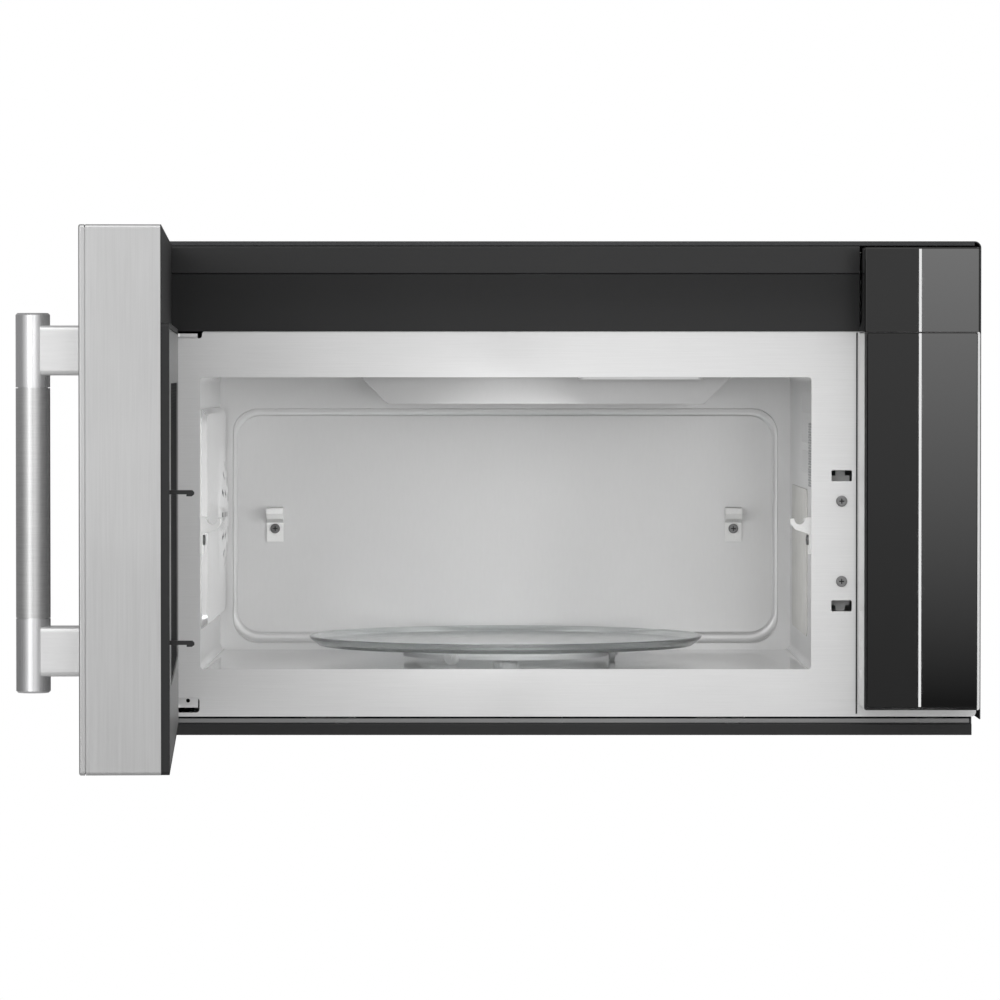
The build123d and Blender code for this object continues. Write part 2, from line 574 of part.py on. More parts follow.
def make_fan_cover():
    """The raised panel on the left wall, with a domed and slotted air inlet at its back."""
    out0, out1, z0, z1 = FAN_COVER
    sheet = 0.8
    wall = CAVITY_LEFT
    panel = side(out0, out1, z0, z1, wall, INLET_RAISED, 14)
    panel = chamfer(panel.faces().sort_by(Axis.X)[-1].edges(), 4.5)
    panel -= side(out0 + 5, out1 - 5, z0 + 5, z1 - 5, wall, INLET_RAISED - sheet, 10)
    ball = (INLET_RADIUS ** 2 + INLET_RISE ** 2) / (2 * INLET_RISE)
    centre = Pos(0, 0, INLET_RISE - ball)
    dome = Pos(0, 0, -sheet / 2) * Cylinder(INLET_RADIUS, 2 * INLET_RISE + sheet)
    dome &= centre * Sphere(ball)
    dome -= centre * Sphere(ball - sheet)
    dome -= Pos(0, 0, -INLET_RISE - sheet) * Box(3 * INLET_RADIUS, 3 * INLET_RADIUS, 2 * INLET_RISE)
    for ring, count in ((18.0, 6), (32.0, 10), (46.0, 14)):
        for place in range(count):
            spoke = Rot(0, 0, 360 * (place + 0.5) / count) * (Pos(ring, 0) * Rectangle(9, 4.5))
            dome -= extrude(Plane.XY.offset(-1) * spoke, INLET_RISE + 2)
    panel -= cross_rod(INLET_OUT, INLET_UP, wall, INLET_RADIUS - 2, INLET_RAISED + 1)
    return panel + Pos(wall + INLET_RAISED, -INLET_OUT, INLET_UP) * Rot(0, 90, 0) * dome


def make_waveguide_cover():
    """The thin mica sheet over the microwave feed in the right wall."""
    return side(70, 307, 83, 216, CAVITY_RIGHT - 1.0 - SEAT, 1.0, 6)


CLIP_WIDTH = 15.7
CLIP_HEIGHT = 33.0
CLIP_REACH = 19.0
CLIP_TOP = 193.0
CLIP_FRONT_OUT = BODY_DEPTH - 24.0
CLIP_BACK_X = (CAVITY_LEFT + 52.6, CAVITY_RIGHT - 54.7)
CLIP_SCREW_DOWN = 20.5


def clip_places():
    """Each support's middle on its wall, as a plane whose normal points into the oven."""
    for x in CLIP_BACK_X:
        yield Plane(origin=(x, -LINER_BACK_OUT + EMBOSS_DEPTH - SEAT, CLIP_TOP),
                    x_dir=(1, 0, 0), z_dir=(0, -1, 0))
    yield Plane(origin=(CAVITY_LEFT + SEAT, -CLIP_FRONT_OUT, CLIP_TOP),
                x_dir=(0, 1, 0), z_dir=(1, 0, 0))
    yield Plane(origin=(CAVITY_RIGHT - SEAT, -CLIP_FRONT_OUT, CLIP_TOP),
                x_dir=(0, -1, 0), z_dir=(-1, 0, 0))


def make_rack_supports():
    """Four moulded clips: a plate on the wall and a hooked saddle that carries a rack wire."""
    wall = 3.0
    low = -CLIP_HEIGHT
    outline = Polyline((0, low), (wall, low), (wall, -15), (CLIP_REACH - 4, -11),
                       (CLIP_REACH, -6), (CLIP_REACH, -1.5), (CLIP_REACH - 3, -1.5))
    outline += ThreePointArc((CLIP_REACH - 3, -1.5), (CLIP_REACH - 7.5, -6.5), (wall + 4, -1))
    outline += Polyline((wall + 4, -1), (wall, 0), (0, 0), (0, low))
    profile = make_face(outline)
    clips = []
    for wall_plane in clip_places():
        across = Plane(origin=wall_plane.origin, x_dir=wall_plane.z_dir,
                       z_dir=wall_plane.z_dir.cross(Vector(0, 0, 1)))
        clip = extrude(across * profile, CLIP_WIDTH / 2, both=True)
        bore = extrude(wall_plane * (Pos(0, -CLIP_SCREW_DOWN) * Circle(2.1)), wall)
        clips.append(clip - bore)
    return group(*clips)


def clip_upright(plane):
    """The wall plane of a clip, turned so that its local Y points up."""
    return Plane(origin=plane.origin, x_dir=Vector(0, 0, 1).cross(plane.z_dir), z_dir=plane.z_dir)


def make_rack_screws():
    screws = []
    for wall_plane in clip_places():
        flat = clip_upright(wall_plane)
        place = Location(flat) * Pos(0, -CLIP_SCREW_DOWN, 3.0)
        screws.append(pan_screw(place, 4.6, 2.2, 1.9, 2.8))
    return group(*screws)


def make_frame_screws():
    screws = []
    for up in FRAME_SCREW_UP:
        place = Location(Plane(origin=(LATCH_X, -BODY_DEPTH, up), x_dir=(1, 0, 0),
                               z_dir=(0, -1, 0)))
        screws.append(pan_screw(place, FRAME_SCREW_HEAD, FRAME_SCREW_HIGH, FRAME_SCREW_SHANK,
                                FRAME_SHEET + 6))
    return group(*screws)


# ---- latch board and switches --------------------------------------------------------
BOARD_X = CAVITY_RIGHT + LINER_SHEET + 3.0
BOARD_THICK = 2.5
BOARD_FRONT = FRAME_BACK_OUT - LINER_SHEET - 1.0
BOARD_DEPTH = 44.0
BOARD_UP = (92.0, 256.0)


def make_latch_board():
    """The moulded board behind the frame that guides the door's two hooks."""
    z0, z1 = BOARD_UP
    x1 = COLUMN_X0 - 1.0
    start = LINER_FLANGE + 1.0
    board = side(BOARD_FRONT - BOARD_DEPTH, BOARD_FRONT - 6, z0, z1, BOARD_X, BOARD_THICK, 3)
    board += upright(CAVITY_RIGHT + start, x1, z0, z1, FRAME_BACK_OUT - BOARD_THICK,
                     BOARD_THICK, 2)
    board += side(BOARD_FRONT - 14, FRAME_BACK_OUT - BOARD_THICK / 2, z0, z1,
                  CAVITY_RIGHT + start, BOARD_THICK)
    board += level(BOARD_X, CAVITY_RIGHT + start + BOARD_THICK, BOARD_FRONT - 14,
                   BOARD_FRONT - 12, z0, z1 - z0)
    board -= latch_slots(FRAME_BACK_OUT - BOARD_THICK - 1, BOARD_THICK + 2, 0.6)
    for up in FRAME_SCREW_UP:
        board += forward_rod(LATCH_X, up, FRAME_BACK_OUT - 12, 5, 12)
        board -= forward_rod(LATCH_X, up, FRAME_BACK_OUT - 9, FRAME_SCREW_SHANK + 0.1, 9.1)
    return board


def make_interlock_switches():
    """Three snap switches on the board, each with its small plunger towards a hook."""
    switches = []
    for up in (LATCH_HOOK_UP[0] - 18, LATCH_HOOK_UP[0] + 18, LATCH_HOOK_UP[1] - 20):
        body = level(BOARD_X + BOARD_THICK, BOARD_X + BOARD_THICK + 10, BOARD_FRONT - 42,
                     BOARD_FRONT - 14.5, up - 5, 10)
        body += cross_rod(BOARD_FRONT - 20, up, BOARD_X + BOARD_THICK + 10, 1.5, 1.5)
        body += level(BOARD_X + BOARD_THICK + 3, BOARD_X + BOARD_THICK + 7, BOARD_FRONT - 48,
                      BOARD_FRONT - 42, up - 0.4, 0.8)
        switches.append(body)
    return group(*switches)


# ---- trims across the front ----------------------------------------------------------
STRIP_BOTTOM = 408.7
STRIP_TOP = 433.6
STRIP_OUT = BODY_DEPTH + 4.5
BAND_FOOT_OUT = BODY_DEPTH + 1.0
GRILLE_GAP = 0.2


def make_top_strip():
    """The black moulding above the door opening, with a rounded front edge."""
    back = FRAME_BACK_OUT
    outline = Rectangle(STRIP_OUT - back, STRIP_TOP - STRIP_BOTTOM - GRILLE_GAP,
                        align=(Align.MIN, Align.MIN))
    outline = fillet(outline.vertices().group_by(Axis.X)[-1], 1.2)
    profile = Plane(origin=(LEFT + 1.5, -back, STRIP_BOTTOM + GRILLE_GAP), x_dir=(0, -1, 0),
                    z_dir=(-1, 0, 0))
    bar = extrude(profile * outline, -(COLUMN_X0 - LEFT - 1.5 - SEAT))
    return bar


def make_vent_band():
    """The sloped black band between the strip and the face frame, hollow behind."""
    back = FRAME_BACK_OUT
    top = STRIP_BOTTOM
    foot = FRAME_TOP + GRILLE_GAP
    skin = 2.0
    outline = Polyline((back, foot), (BAND_FOOT_OUT, foot))
    outline += ThreePointArc((BAND_FOOT_OUT, foot), (BAND_FOOT_OUT + 0.8, (foot + top) / 2 - 6),
                             (STRIP_OUT, top))
    outline += Polyline((STRIP_OUT, top), (back, top), (back, foot))
    side_plane = Plane(origin=(LEFT + 1.5, 0, 0), x_dir=(0, -1, 0), z_dir=(-1, 0, 0))
    band = extrude(side_plane * make_face(outline), -(COLUMN_X0 - LEFT - 1.5 - SEAT))
    band += upright(LEFT + 20, COLUMN_X0 - 20, foot + 4, top - 4, back - 12, 12)
    return band - upright(LEFT + 20 + skin, COLUMN_X0 - 20 - skin, foot + 4 + skin, top - 4 - skin,
                          back - 12, 12)


def make_bottom_strip():
    """The light strip between the face frame and the base pan's flange."""
    return upright(PAN_X0 + 2, PAN_X1 - 2, PAN_FLANGE + 0.4, FRAME_BOTTOM - 1.8,
                   FRAME_BACK_OUT - PAN_SHEET, PAN_SHEET)


def make_bottom_lip():
    """The black moulding along the bottom front edge, with a foot at each end."""
    out = FRAME_BACK_OUT
    outline = Rectangle(2.4, PAN_FLANGE - 0.4, align=(Align.MIN, Align.MIN))
    outline = fillet(outline.vertices().group_by(Axis.X)[-1], 1.0)
    profile = Plane(origin=(PAN_X0, -out, 0), x_dir=(0, -1, 0), z_dir=(-1, 0, 0))
    return extrude(profile * outline, -(PAN_X1 - PAN_X0))


# ---- control column ------------------------------------------------------------------
def make_column_housing():
    """The hollow column beside the door, on the face frame, up to the seam."""
    out0 = BODY_DEPTH
    out1 = DOOR_FACE_OUT - COLUMN_GLASS
    body = upright(COLUMN_X0, COLUMN_X1, COLUMN_BOTTOM, COLUMN_SEAM_UP - GRILLE_GAP, out0,
                   out1 - out0)
    body = fillet(body.edges().filter_by(Axis.Y), COLUMN_FILLET)
    wall = COLUMN_WALL
    body -= upright(COLUMN_X0 + wall, COLUMN_X1 - wall, COLUMN_BOTTOM + wall,
                    COLUMN_SEAM_UP - GRILLE_GAP - wall, out0, out1 - out0 - wall)
    body -= upright(COLUMN_X0 + 12, COLUMN_X1 - 12, COLUMN_BOTTOM + 30, COLUMN_SEAM_UP - 30,
                    out1 - wall, wall)
    tab_height = 8.0
    for up in (52.0, 78.0, 104.0):
        body += side(out0 + 14, out0 + 34, up, up + tab_height, COLUMN_X0 - 0.6, 1.0, 1.5)
    return body


FAIRING_STEP = 1.2


def make_column_fairing():
    """The black hood on top of the column; its left wall steps in behind a curved line."""
    out0 = FRAME_BACK_OUT
    out1 = DOOR_FACE_OUT
    z0 = COLUMN_SEAM_UP
    hood = upright(COLUMN_X0, COLUMN_X1, z0, COLUMN_TOP, BODY_DEPTH, out1 - BODY_DEPTH)
    hood = fillet(hood.edges().filter_by(Axis.Y).group_by(Axis.Z)[-1], COLUMN_FILLET)
    hood = fillet(hood.faces().sort_by(Axis.Y)[0].edges().filter_by(Axis.Z), 1.5)
    wall = COLUMN_WALL
    hood -= upright(COLUMN_X0 + wall + FAIRING_STEP, COLUMN_X1 - wall, z0, COLUMN_TOP - wall,
                    BODY_DEPTH, out1 - BODY_DEPTH - wall)
    curve = Polyline((BODY_DEPTH - 1, z0 + 2), (BODY_DEPTH - 1, COLUMN_TOP + 1))
    curve += Polyline((BODY_DEPTH - 1, COLUMN_TOP + 1), (out1 - 8, COLUMN_TOP + 1),
                      (out1 - 8, STRIP_BOTTOM))
    curve += ThreePointArc((out1 - 8, STRIP_BOTTOM), (out1 - 28, z0 + 18), (BODY_DEPTH - 1, z0 + 2))
    side_plane = Plane(origin=(COLUMN_X0, 0, 0), x_dir=(0, -1, 0), z_dir=(-1, 0, 0))
    hood -= extrude(side_plane * make_face(curve), -FAIRING_STEP)
    seat = upright(COLUMN_X0 + wall + FAIRING_STEP, COLUMN_X1 - wall, z0 + 4, COLUMN_TOP - wall,
                   out0, BODY_DEPTH + 8 - out0)
    seat -= upright(COLUMN_X0 + 8, COLUMN_X1 - 8, z0 + 8, COLUMN_TOP - 8, out0,
                    BODY_DEPTH + 8 - out0)
    seat -= upright(COLUMN_X0, COLUMN_X1, z0, FRAME_TOP + GRILLE_GAP, out0, FRAME_SHEET)
    return hood + seat


def make_control_glass():
    """The touch panel: one sheet of black glass with eased edges."""
    glass = upright(COLUMN_X0 + COLUMN_GLASS_INSET, COLUMN_X1 - COLUMN_GLASS_INSET,
                    COLUMN_BOTTOM + COLUMN_GLASS_INSET, COLUMN_SEAM_UP - GRILLE_GAP - 0.6,
                    DOOR_FACE_OUT - COLUMN_GLASS, COLUMN_GLASS, 2)
    return chamfer(glass.faces().sort_by(Axis.Y)[0].edges(), 0.6)


def make_column_bezel():
    """The bright edging round the control glass."""
    out = DOOR_FACE_OUT - COLUMN_GLASS
    ring = upright(COLUMN_X0, COLUMN_X1, COLUMN_BOTTOM, COLUMN_SEAM_UP - GRILLE_GAP, out,
                   COLUMN_GLASS - 0.4, COLUMN_FILLET)
    inset = COLUMN_GLASS_INSET - SEAT
    ring -= upright(COLUMN_X0 + inset, COLUMN_X1 - inset, COLUMN_BOTTOM + inset,
                    COLUMN_SEAM_UP - GRILLE_GAP - 0.6 + SEAT, out, COLUMN_GLASS, 2)
    return ring


def make_control_board():
    """The circuit board behind the glass, with its relays, transformer and display."""
    out = DOOR_FACE_OUT - COLUMN_GLASS - 2 * COLUMN_WALL - 12
    x0 = COLUMN_X0 + COLUMN_WALL + 3
    x1 = COLUMN_X1 - COLUMN_WALL - 3
    board = upright(x0, x1, 60, 330, out, 1.6, 2)
    board += upright(x0 + 12, x1 - 12, 262, 302, out + 1.6, 9)
    for up in (90.0, 118.0, 146.0, 174.0):
        board += upright(x0 + 10, x0 + 26, up, up + 20, out - 14, 14)
    board += upright(x1 - 44, x1 - 8, 96, 132, out - 26, 26)
    for x in (x0 + 6, x1 - 6):
        for up in (70.0, 320.0):
            board += forward_rod(x, up, out + 1.6, 3, 12 + COLUMN_WALL - 1.6)
    return board


# ---- hinges --------------------------------------------------------------------------
BRACKET_THICK = 3.0
BRACKET_UP = (24.5, 353.2)
BRACKET_EYE = 8.0
BLOCK_GAP = 0.4
BLOCK_HEIGHT = 16.0


def bracket_outline():
    """The hinge plate from above: a wide root behind the frame and a neck to the pin."""
    root_left = LEFT + 47.0
    root_right = LEFT + 64.5
    neck = HINGE_X + BRACKET_EYE
    lead = BODY_DEPTH + 1.5
    outline = closed((root_left, -lead), (root_right, -lead), (root_right, -FRAME_BACK_OUT + 8),
                      (root_left, -FRAME_BACK_OUT + 8))
    outline += closed((root_left + 2, -lead), (root_left + 2, -BODY_DEPTH - 0.5),
                       (neck - 2 * BRACKET_EYE, -BODY_DEPTH - 0.5),
                       (neck - 2 * BRACKET_EYE, -HINGE_OUT), (neck, -HINGE_OUT),
                       (neck, -BODY_DEPTH - 7))
    return outline + Pos(HINGE_X, -HINGE_OUT) * Circle(BRACKET_EYE)


def make_hinge_brackets():
    """Two steel plates that stand out of the frame; each carries a pin into the door."""
    brackets = []
    for up, direction in zip(BRACKET_UP, (1, -1)):
        plate = extrude(Plane.XY.offset(up) * bracket_outline(), BRACKET_THICK)
        start = up + BRACKET_THICK / 2
        end = up + BRACKET_THICK / 2 + direction * (BRACKET_THICK / 2 + PIN_LENGTH)
        plate += upright_rod(HINGE_X, HINGE_OUT, min(start, end), PIN_RADIUS, abs(end - start))
        foot_z = (up - 12, up) if direction < 0 else (up, up + 12)
        plate += upright(LEFT + 47.0, LEFT + 64.5, foot_z[0], foot_z[1], FRAME_BACK_OUT - 3, 3)
        plate -= forward_rod(LEFT + 55.5, sum(foot_z) / 2, FRAME_BACK_OUT - 3, 1.8, 3)
        brackets.append(plate)
    return group(*brackets)


def make_hinge_blocks():
    """The door's two bearing blocks, bored for the pins."""
    blocks = []
    for up, direction in zip(BRACKET_UP, (1, -1)):
        if direction > 0:
            low = up + BRACKET_THICK + BLOCK_GAP
        else:
            low = up - BLOCK_GAP - BLOCK_HEIGHT
        x0 = DOOR_LEFT + DOOR_SHEET
        block = level(x0, HINGE_X + 14, DOOR_BACK_OUT + DOOR_SHEET, HINGE_OUT + 12, low,
                      BLOCK_HEIGHT)
        bore = upright_rod(HINGE_X, HINGE_OUT, low if direction > 0 else low + 4,
                           PIN_RADIUS + PIN_CLEARANCE, BLOCK_HEIGHT - 4)
        bend = beyond_bend(x0, DOOR_BACK_OUT + DOOR_SHEET, DOOR_BEND)
        blocks.append(block - bore - bend)
    return group(*blocks)


def hinge_pockets():
    """The room in the door's back and side through which the hinge plates swing."""
    room = Part()
    for up in BRACKET_UP:
        room += level(DOOR_LEFT - 5, HINGE_X + BRACKET_EYE + 5, BODY_DEPTH,
                      HINGE_OUT + BRACKET_EYE + 9, up - BLOCK_GAP - 1.2,
                      BRACKET_THICK + 2 * BLOCK_GAP + 2.4)
    return room


# ---- door, drawn shut ----------------------------------------------------------------
def window(out, thick, grow=0.0):
    return upright(WINDOW_X0 - grow, WINDOW_X1 + grow, WINDOW_BOTTOM - grow, WINDOW_TOP + grow,
                   out, thick, WINDOW_CORNER + grow)


def beyond_bend(x, out, radius):
    """What a bend of that radius takes off the upright corner at x and out."""
    corner = closed((x, -out), (x + radius, -out), (x + radius, -out - radius), (x, -out - radius))
    corner -= Pos(x + radius, -out - radius) * Circle(radius)
    return extrude(Plane.XY.offset(DOOR_BOTTOM) * corner, DOOR_TOP - DOOR_BOTTOM)


def make_door_frame():
    """The deep folded frame: four sides, a back sheet and a duct round the window."""
    depth = FACE_BACK_OUT - FACE_GROOVE - DOOR_BACK_OUT
    sheet = DOOR_SHEET
    shell = upright(DOOR_LEFT, DOOR_RIGHT, DOOR_BOTTOM, DOOR_TOP, DOOR_BACK_OUT, depth)
    shell = fillet(shell.edges().filter_by(Axis.Y), DOOR_CORNER)
    shell -= beyond_bend(DOOR_LEFT, DOOR_BACK_OUT, DOOR_BEND)
    room = upright(DOOR_LEFT + sheet, DOOR_RIGHT - sheet, DOOR_BOTTOM + sheet,
                   DOOR_TOP - sheet, DOOR_BACK_OUT + sheet, depth, DOOR_CORNER - sheet)
    shell -= room - beyond_bend(DOOR_LEFT + sheet, DOOR_BACK_OUT + sheet, DOOR_BEND - sheet)
    shell += window(DOOR_BACK_OUT, depth, sheet + 4)
    shell -= window(DOOR_BACK_OUT, depth, 4)
    shell -= hinge_pockets()
    for up in LATCH_HOOK_UP:
        shell -= upright(LATCH_X - LATCH_WIDTH / 2 - 1, LATCH_X + LATCH_WIDTH / 2 + 1, up - 4,
                         up + LATCH_TRAVEL + 6, DOOR_BACK_OUT, sheet)
    return shell


def make_door_face():
    """The front of the door: a formed panel set off from the frame by a shadow groove."""
    out = FACE_BACK_OUT
    face = upright(DOOR_LEFT, DOOR_RIGHT, DOOR_BOTTOM, DOOR_TOP, out, FACE_THICK, DOOR_CORNER)
    face = fillet(face.faces().sort_by(Axis.Y)[0].edges(), 1.6)
    face -= window(out, FACE_THICK, 12)
    face -= window(out, 1.5, 18)
    backing = upright(DOOR_LEFT + 2, DOOR_RIGHT - 2, DOOR_BOTTOM + 2, DOOR_TOP - 2,
                      out - FACE_GROOVE, FACE_GROOVE, 1.5)
    return face + backing - window(out - FACE_GROOVE, FACE_GROOVE, 5.4)


def make_door_window():
    """The outer pane, let into the front of the door."""
    pane = window(FACE_BACK_OUT + 1.5, GLASS_THICK - 0.4, 12 - SEAT)
    return pane + window(FACE_BACK_OUT, 1.5, 18 - SEAT)


def make_door_trim():
    """The black moulded surround of the inner panel, with slots for the two hooks."""
    x0 = LEFT + CHOKE_LEFT - TRIM_WIDTH
    x1 = DOOR_RIGHT - 0.6
    out = DOOR_BACK_OUT - PANEL_PROUD
    ring = upright(x0, x1, DOOR_BOTTOM, TRIM_TOP, out, PANEL_PROUD, 3)
    ring -= upright(x0 + TRIM_WIDTH, x1 - TRIM_LATCH_WIDTH, DOOR_BOTTOM + TRIM_WIDTH / 2,
                    TRIM_TOP - TRIM_WIDTH, out, PANEL_PROUD, 2)
    for up in LATCH_HOOK_UP:
        ring -= upright(LATCH_X - LATCH_WIDTH / 2 - 1, LATCH_X + LATCH_WIDTH / 2 + 1, up - 4,
                        up + LATCH_TRAVEL + 6, out, PANEL_PROUD, 1)
    for up in FRAME_SCREW_UP:
        ring -= forward_rod(LATCH_X, up, out, FRAME_SCREW_HEAD + 1, 1)
    return ring


def make_inner_panel():
    """The enamelled inner panel, a shallow tray round the inner window."""
    x0 = LEFT + CHOKE_LEFT + SEAT
    x1 = DOOR_RIGHT - 0.6 - TRIM_LATCH_WIDTH - SEAT
    out = DOOR_BACK_OUT - PANEL_PROUD
    z0 = DOOR_BOTTOM + TRIM_WIDTH / 2 + SEAT
    z1 = TRIM_TOP - TRIM_WIDTH - SEAT
    tray = upright(x0, x1, z0, z1, out, PANEL_PROUD, 2)
    tray = chamfer(tray.faces().sort_by(Axis.Y)[-1].edges(), 0.8)
    sheet = DOOR_SHEET
    tray -= upright(x0 + sheet, x1 - sheet, z0 + sheet, z1 - sheet, out + sheet, PANEL_PROUD, 1)
    tray += window(out, PANEL_PROUD, sheet + 1)
    return tray - window(out, PANEL_PROUD, 1)


def make_inner_window():
    """The perforated screen behind its clear sheet, held in the inner panel."""
    out = DOOR_BACK_OUT - PANEL_PROUD
    return window(out + 1.0, PANEL_PROUD - 1.0, 1 - SEAT)


def make_latch_hooks():
    """One bar inside the door with the two hooks that reach into the oven's slots."""
    out0 = DOOR_BACK_OUT + DOOR_SHEET + 3
    x0 = LATCH_X - LATCH_WIDTH / 2
    bar = side(out0, out0 + 14, LATCH_HOOK_UP[0] - 12, LATCH_HOOK_UP[1] + 14, x0, LATCH_WIDTH, 3)
    tip = DOOR_BACK_OUT - PANEL_PROUD - LATCH_REACH
    for up in LATCH_HOOK_UP:
        low = up - LATCH_THICK / 2
        high = up + LATCH_THICK / 2
        arm = closed((-out0 - 2, low), (-out0 - 2, high), (-tip - 1.5, high), (-tip, high - 1.5),
                     (-tip, low), (-tip - 2, low - LATCH_CATCH), (-tip - 6, low - LATCH_CATCH),
                     (-tip - 6, low))
        bar += extrude(Plane.YZ.offset(x0) * arm, LATCH_WIDTH)
    return bar


def make_latch_guides():
    """The moulded guides that hold the hook bar against the door's back sheet."""
    guides = []
    x0 = LATCH_X - LATCH_WIDTH / 2
    out0 = DOOR_BACK_OUT + DOOR_SHEET
    middle = sum(LATCH_HOOK_UP) / 2
    for up in (LATCH_HOOK_UP[0] + 12, middle, LATCH_HOOK_UP[1] - 24):
        block = upright(x0 - 5, x0 + LATCH_WIDTH + 3, up, up + 12, out0, 22)
        block -= upright(x0 - SEAT, x0 + LATCH_WIDTH + SEAT, up, up + 12, out0 + 3 - SEAT,
                         14 + 2 * SEAT)
        guides.append(block)
    return group(*guides)


def make_spring_seat():
    """The ledge and peg below the hook bar that the latch spring stands on."""
    low = LATCH_HOOK_UP[0] - 12 - LATCH_SPRING
    out = DOOR_BACK_OUT + DOOR_SHEET
    ledge = level(LATCH_X - 8, LATCH_X + 6, out, out + 18, low - 3, 3)
    return ledge + upright_rod(LATCH_X, out + 10, low, 2.1, 8)


# ---- handle --------------------------------------------------------------------------
def make_handle_bar():
    """The round bar, turned down in the middle for its grip, with eased ends."""
    r = HANDLE_RADIUS
    core = r - GRIP_WALL
    low = GRIP_BOTTOM - HANDLE_BOTTOM
    high = low + GRIP_LENGTH
    section = closed((0, 0), (r - 1.5, 0), (r, 1.5), (r, low), (core, low), (core, high),
                      (r, high), (r, HANDLE_LENGTH - 1.5), (r - 1.5, HANDLE_LENGTH),
                      (0, HANDLE_LENGTH))
    return Pos(HANDLE_X, -HANDLE_OUT, HANDLE_BOTTOM) * revolve(Plane.XZ * section, Axis.Z)


def make_handle_grip():
    seam = 0.6
    low = GRIP_BOTTOM + seam
    length = GRIP_LENGTH - 2 * seam
    tube = upright_rod(HANDLE_X, HANDLE_OUT, low, HANDLE_RADIUS, length)
    return tube - upright_rod(HANDLE_X, HANDLE_OUT, low, HANDLE_RADIUS - GRIP_WALL + 0.05, length)


def make_handle_posts():
    """Two square posts with rounded edges, hollowed to seat the bar."""
    posts = []
    for low in POST_BOTTOMS:
        post = upright(HANDLE_X - POST_WIDTH / 2, HANDLE_X + POST_WIDTH / 2, low,
                       low + POST_HEIGHT, DOOR_FACE_OUT, HANDLE_STAND_OFF - 6, 4)
        post -= upright_rod(HANDLE_X, HANDLE_OUT, low, HANDLE_RADIUS + 0.05, POST_HEIGHT)
        hole = forward_rod(HANDLE_X, low + POST_HEIGHT / 2, DOOR_FACE_OUT, 2.1, 14)
        posts.append(post - hole)
    return group(*posts)


def make_handle_screws():
    """The two screws that hold the posts from inside the door."""
    screws = []
    for low in POST_BOTTOMS:
        place = Location(Plane(origin=(HANDLE_X, -(FACE_BACK_OUT - FACE_GROOVE),
                                       low + POST_HEIGHT / 2), x_dir=(1, 0, 0), z_dir=(0, 1, 0)))
        screws.append(pan_screw(place, 5, 3, 2.0, FACE_THICK + FACE_GROOVE + 12))
    return group(*screws)


def screw_ways():
    """The clearance holes of the handle screws through the door's front."""
    ways = Part()
    for low in POST_BOTTOMS:
        ways += forward_rod(HANDLE_X, low + POST_HEIGHT / 2, FACE_BACK_OUT - FACE_GROOVE, 2.3,
                            FACE_THICK + FACE_GROOVE)
    return ways


# ---- turntable -----------------------------------------------------------------------
ROLLER_UP = CAVITY_FLOOR + ROLLER_RADIUS + ROLLER_GAP
TRAY_BOTTOM = ROLLER_UP + ROLLER_RADIUS + ROLLER_GAP
COUPLER_LOW = CAVITY_FLOOR + 2.0
LOBE_REACH = 11.0
MOTOR_HEIGHT = 18.0
MOTOR_TOP = CAVITY_FLOOR - LINER_SHEET - 1.5


def tri_lobe(reach, width):
    outline = Circle(width * 0.9)
    for third in range(3):
        outline += Rot(0, 0, 120 * third) * (Pos(reach / 2) * Rectangle(reach, width))
        outline += Rot(0, 0, 120 * third) * (Pos(reach) * Circle(width / 2))
    return outline


def make_glass_tray():
    """The glass plate: a flat disc with a turned-up rim and a socket for the drive."""
    r = TRAY_RADIUS
    t = TRAY_THICK
    section = closed((0, 0), (r - 9, 0), (r - 1.2, TRAY_RIM - 3), (r, TRAY_RIM - 0.6),
                      (r - 1.4, TRAY_RIM), (r - 3.4, TRAY_RIM - 1.2), (r - 10.5, t), (0, t))
    plate = revolve(Plane.XZ * section, Axis.Z)
    socket = extrude(tri_lobe(LOBE_REACH + 0.5, 6.6), 2.6)
    return Pos(CAVITY_X, -TRAY_OUT, TRAY_BOTTOM) * (plate - socket)


def make_drive_coupler():
    """The three-armed drive, with the stem that goes down into the motor."""
    place = Pos(CAVITY_X, -TRAY_OUT, 0)
    hub = extrude(Plane.XY.offset(COUPLER_LOW) * Circle(COUPLER_RADIUS - 4), 6.5)
    arms_low = TRAY_BOTTOM - 4
    hub += extrude(Plane.XY.offset(COUPLER_LOW + 6) * Circle(COUPLER_RADIUS - 8),
                   arms_low - COUPLER_LOW - 5)
    hub += extrude(Plane.XY.offset(arms_low) * tri_lobe(LOBE_REACH, 5.6), 6.2)
    stem = extrude(Plane.XY.offset(MOTOR_TOP - 8) * Circle(COUPLER_STEM),
                   COUPLER_LOW - MOTOR_TOP + 8.5)
    return place * (hub + stem)


def make_turntable_motor():
    """The flat motor under the floor, with the two ears that fasten it."""
    place = Pos(CAVITY_X, -TRAY_OUT, 0)
    low = MOTOR_TOP - MOTOR_HEIGHT
    can = extrude(Plane.XY.offset(low) * Circle(24.5), MOTOR_HEIGHT)
    can = fillet(can.edges().sort_by(Axis.Z)[:1], 2)
    ears = extrude(Plane.XY.offset(MOTOR_TOP - 1) * (SlotCenterToCenter(60, 12)), 2.5)
    gearbox = extrude(Plane.XY.offset(low + 3) * (Pos(14, -12) * RectangleRounded(22, 18, 3)), 8)
    bore = extrude(Plane.XY.offset(MOTOR_TOP - 10) * Circle(COUPLER_STEM + 0.08), 12)
    holes = Part()
    for x in (-30, 30):
        holes += extrude(Plane.XY.offset(MOTOR_TOP - 2) * (Pos(x, 0) * Circle(2.2)), 5)
    return place * (can + ears + gearbox - bore - holes)


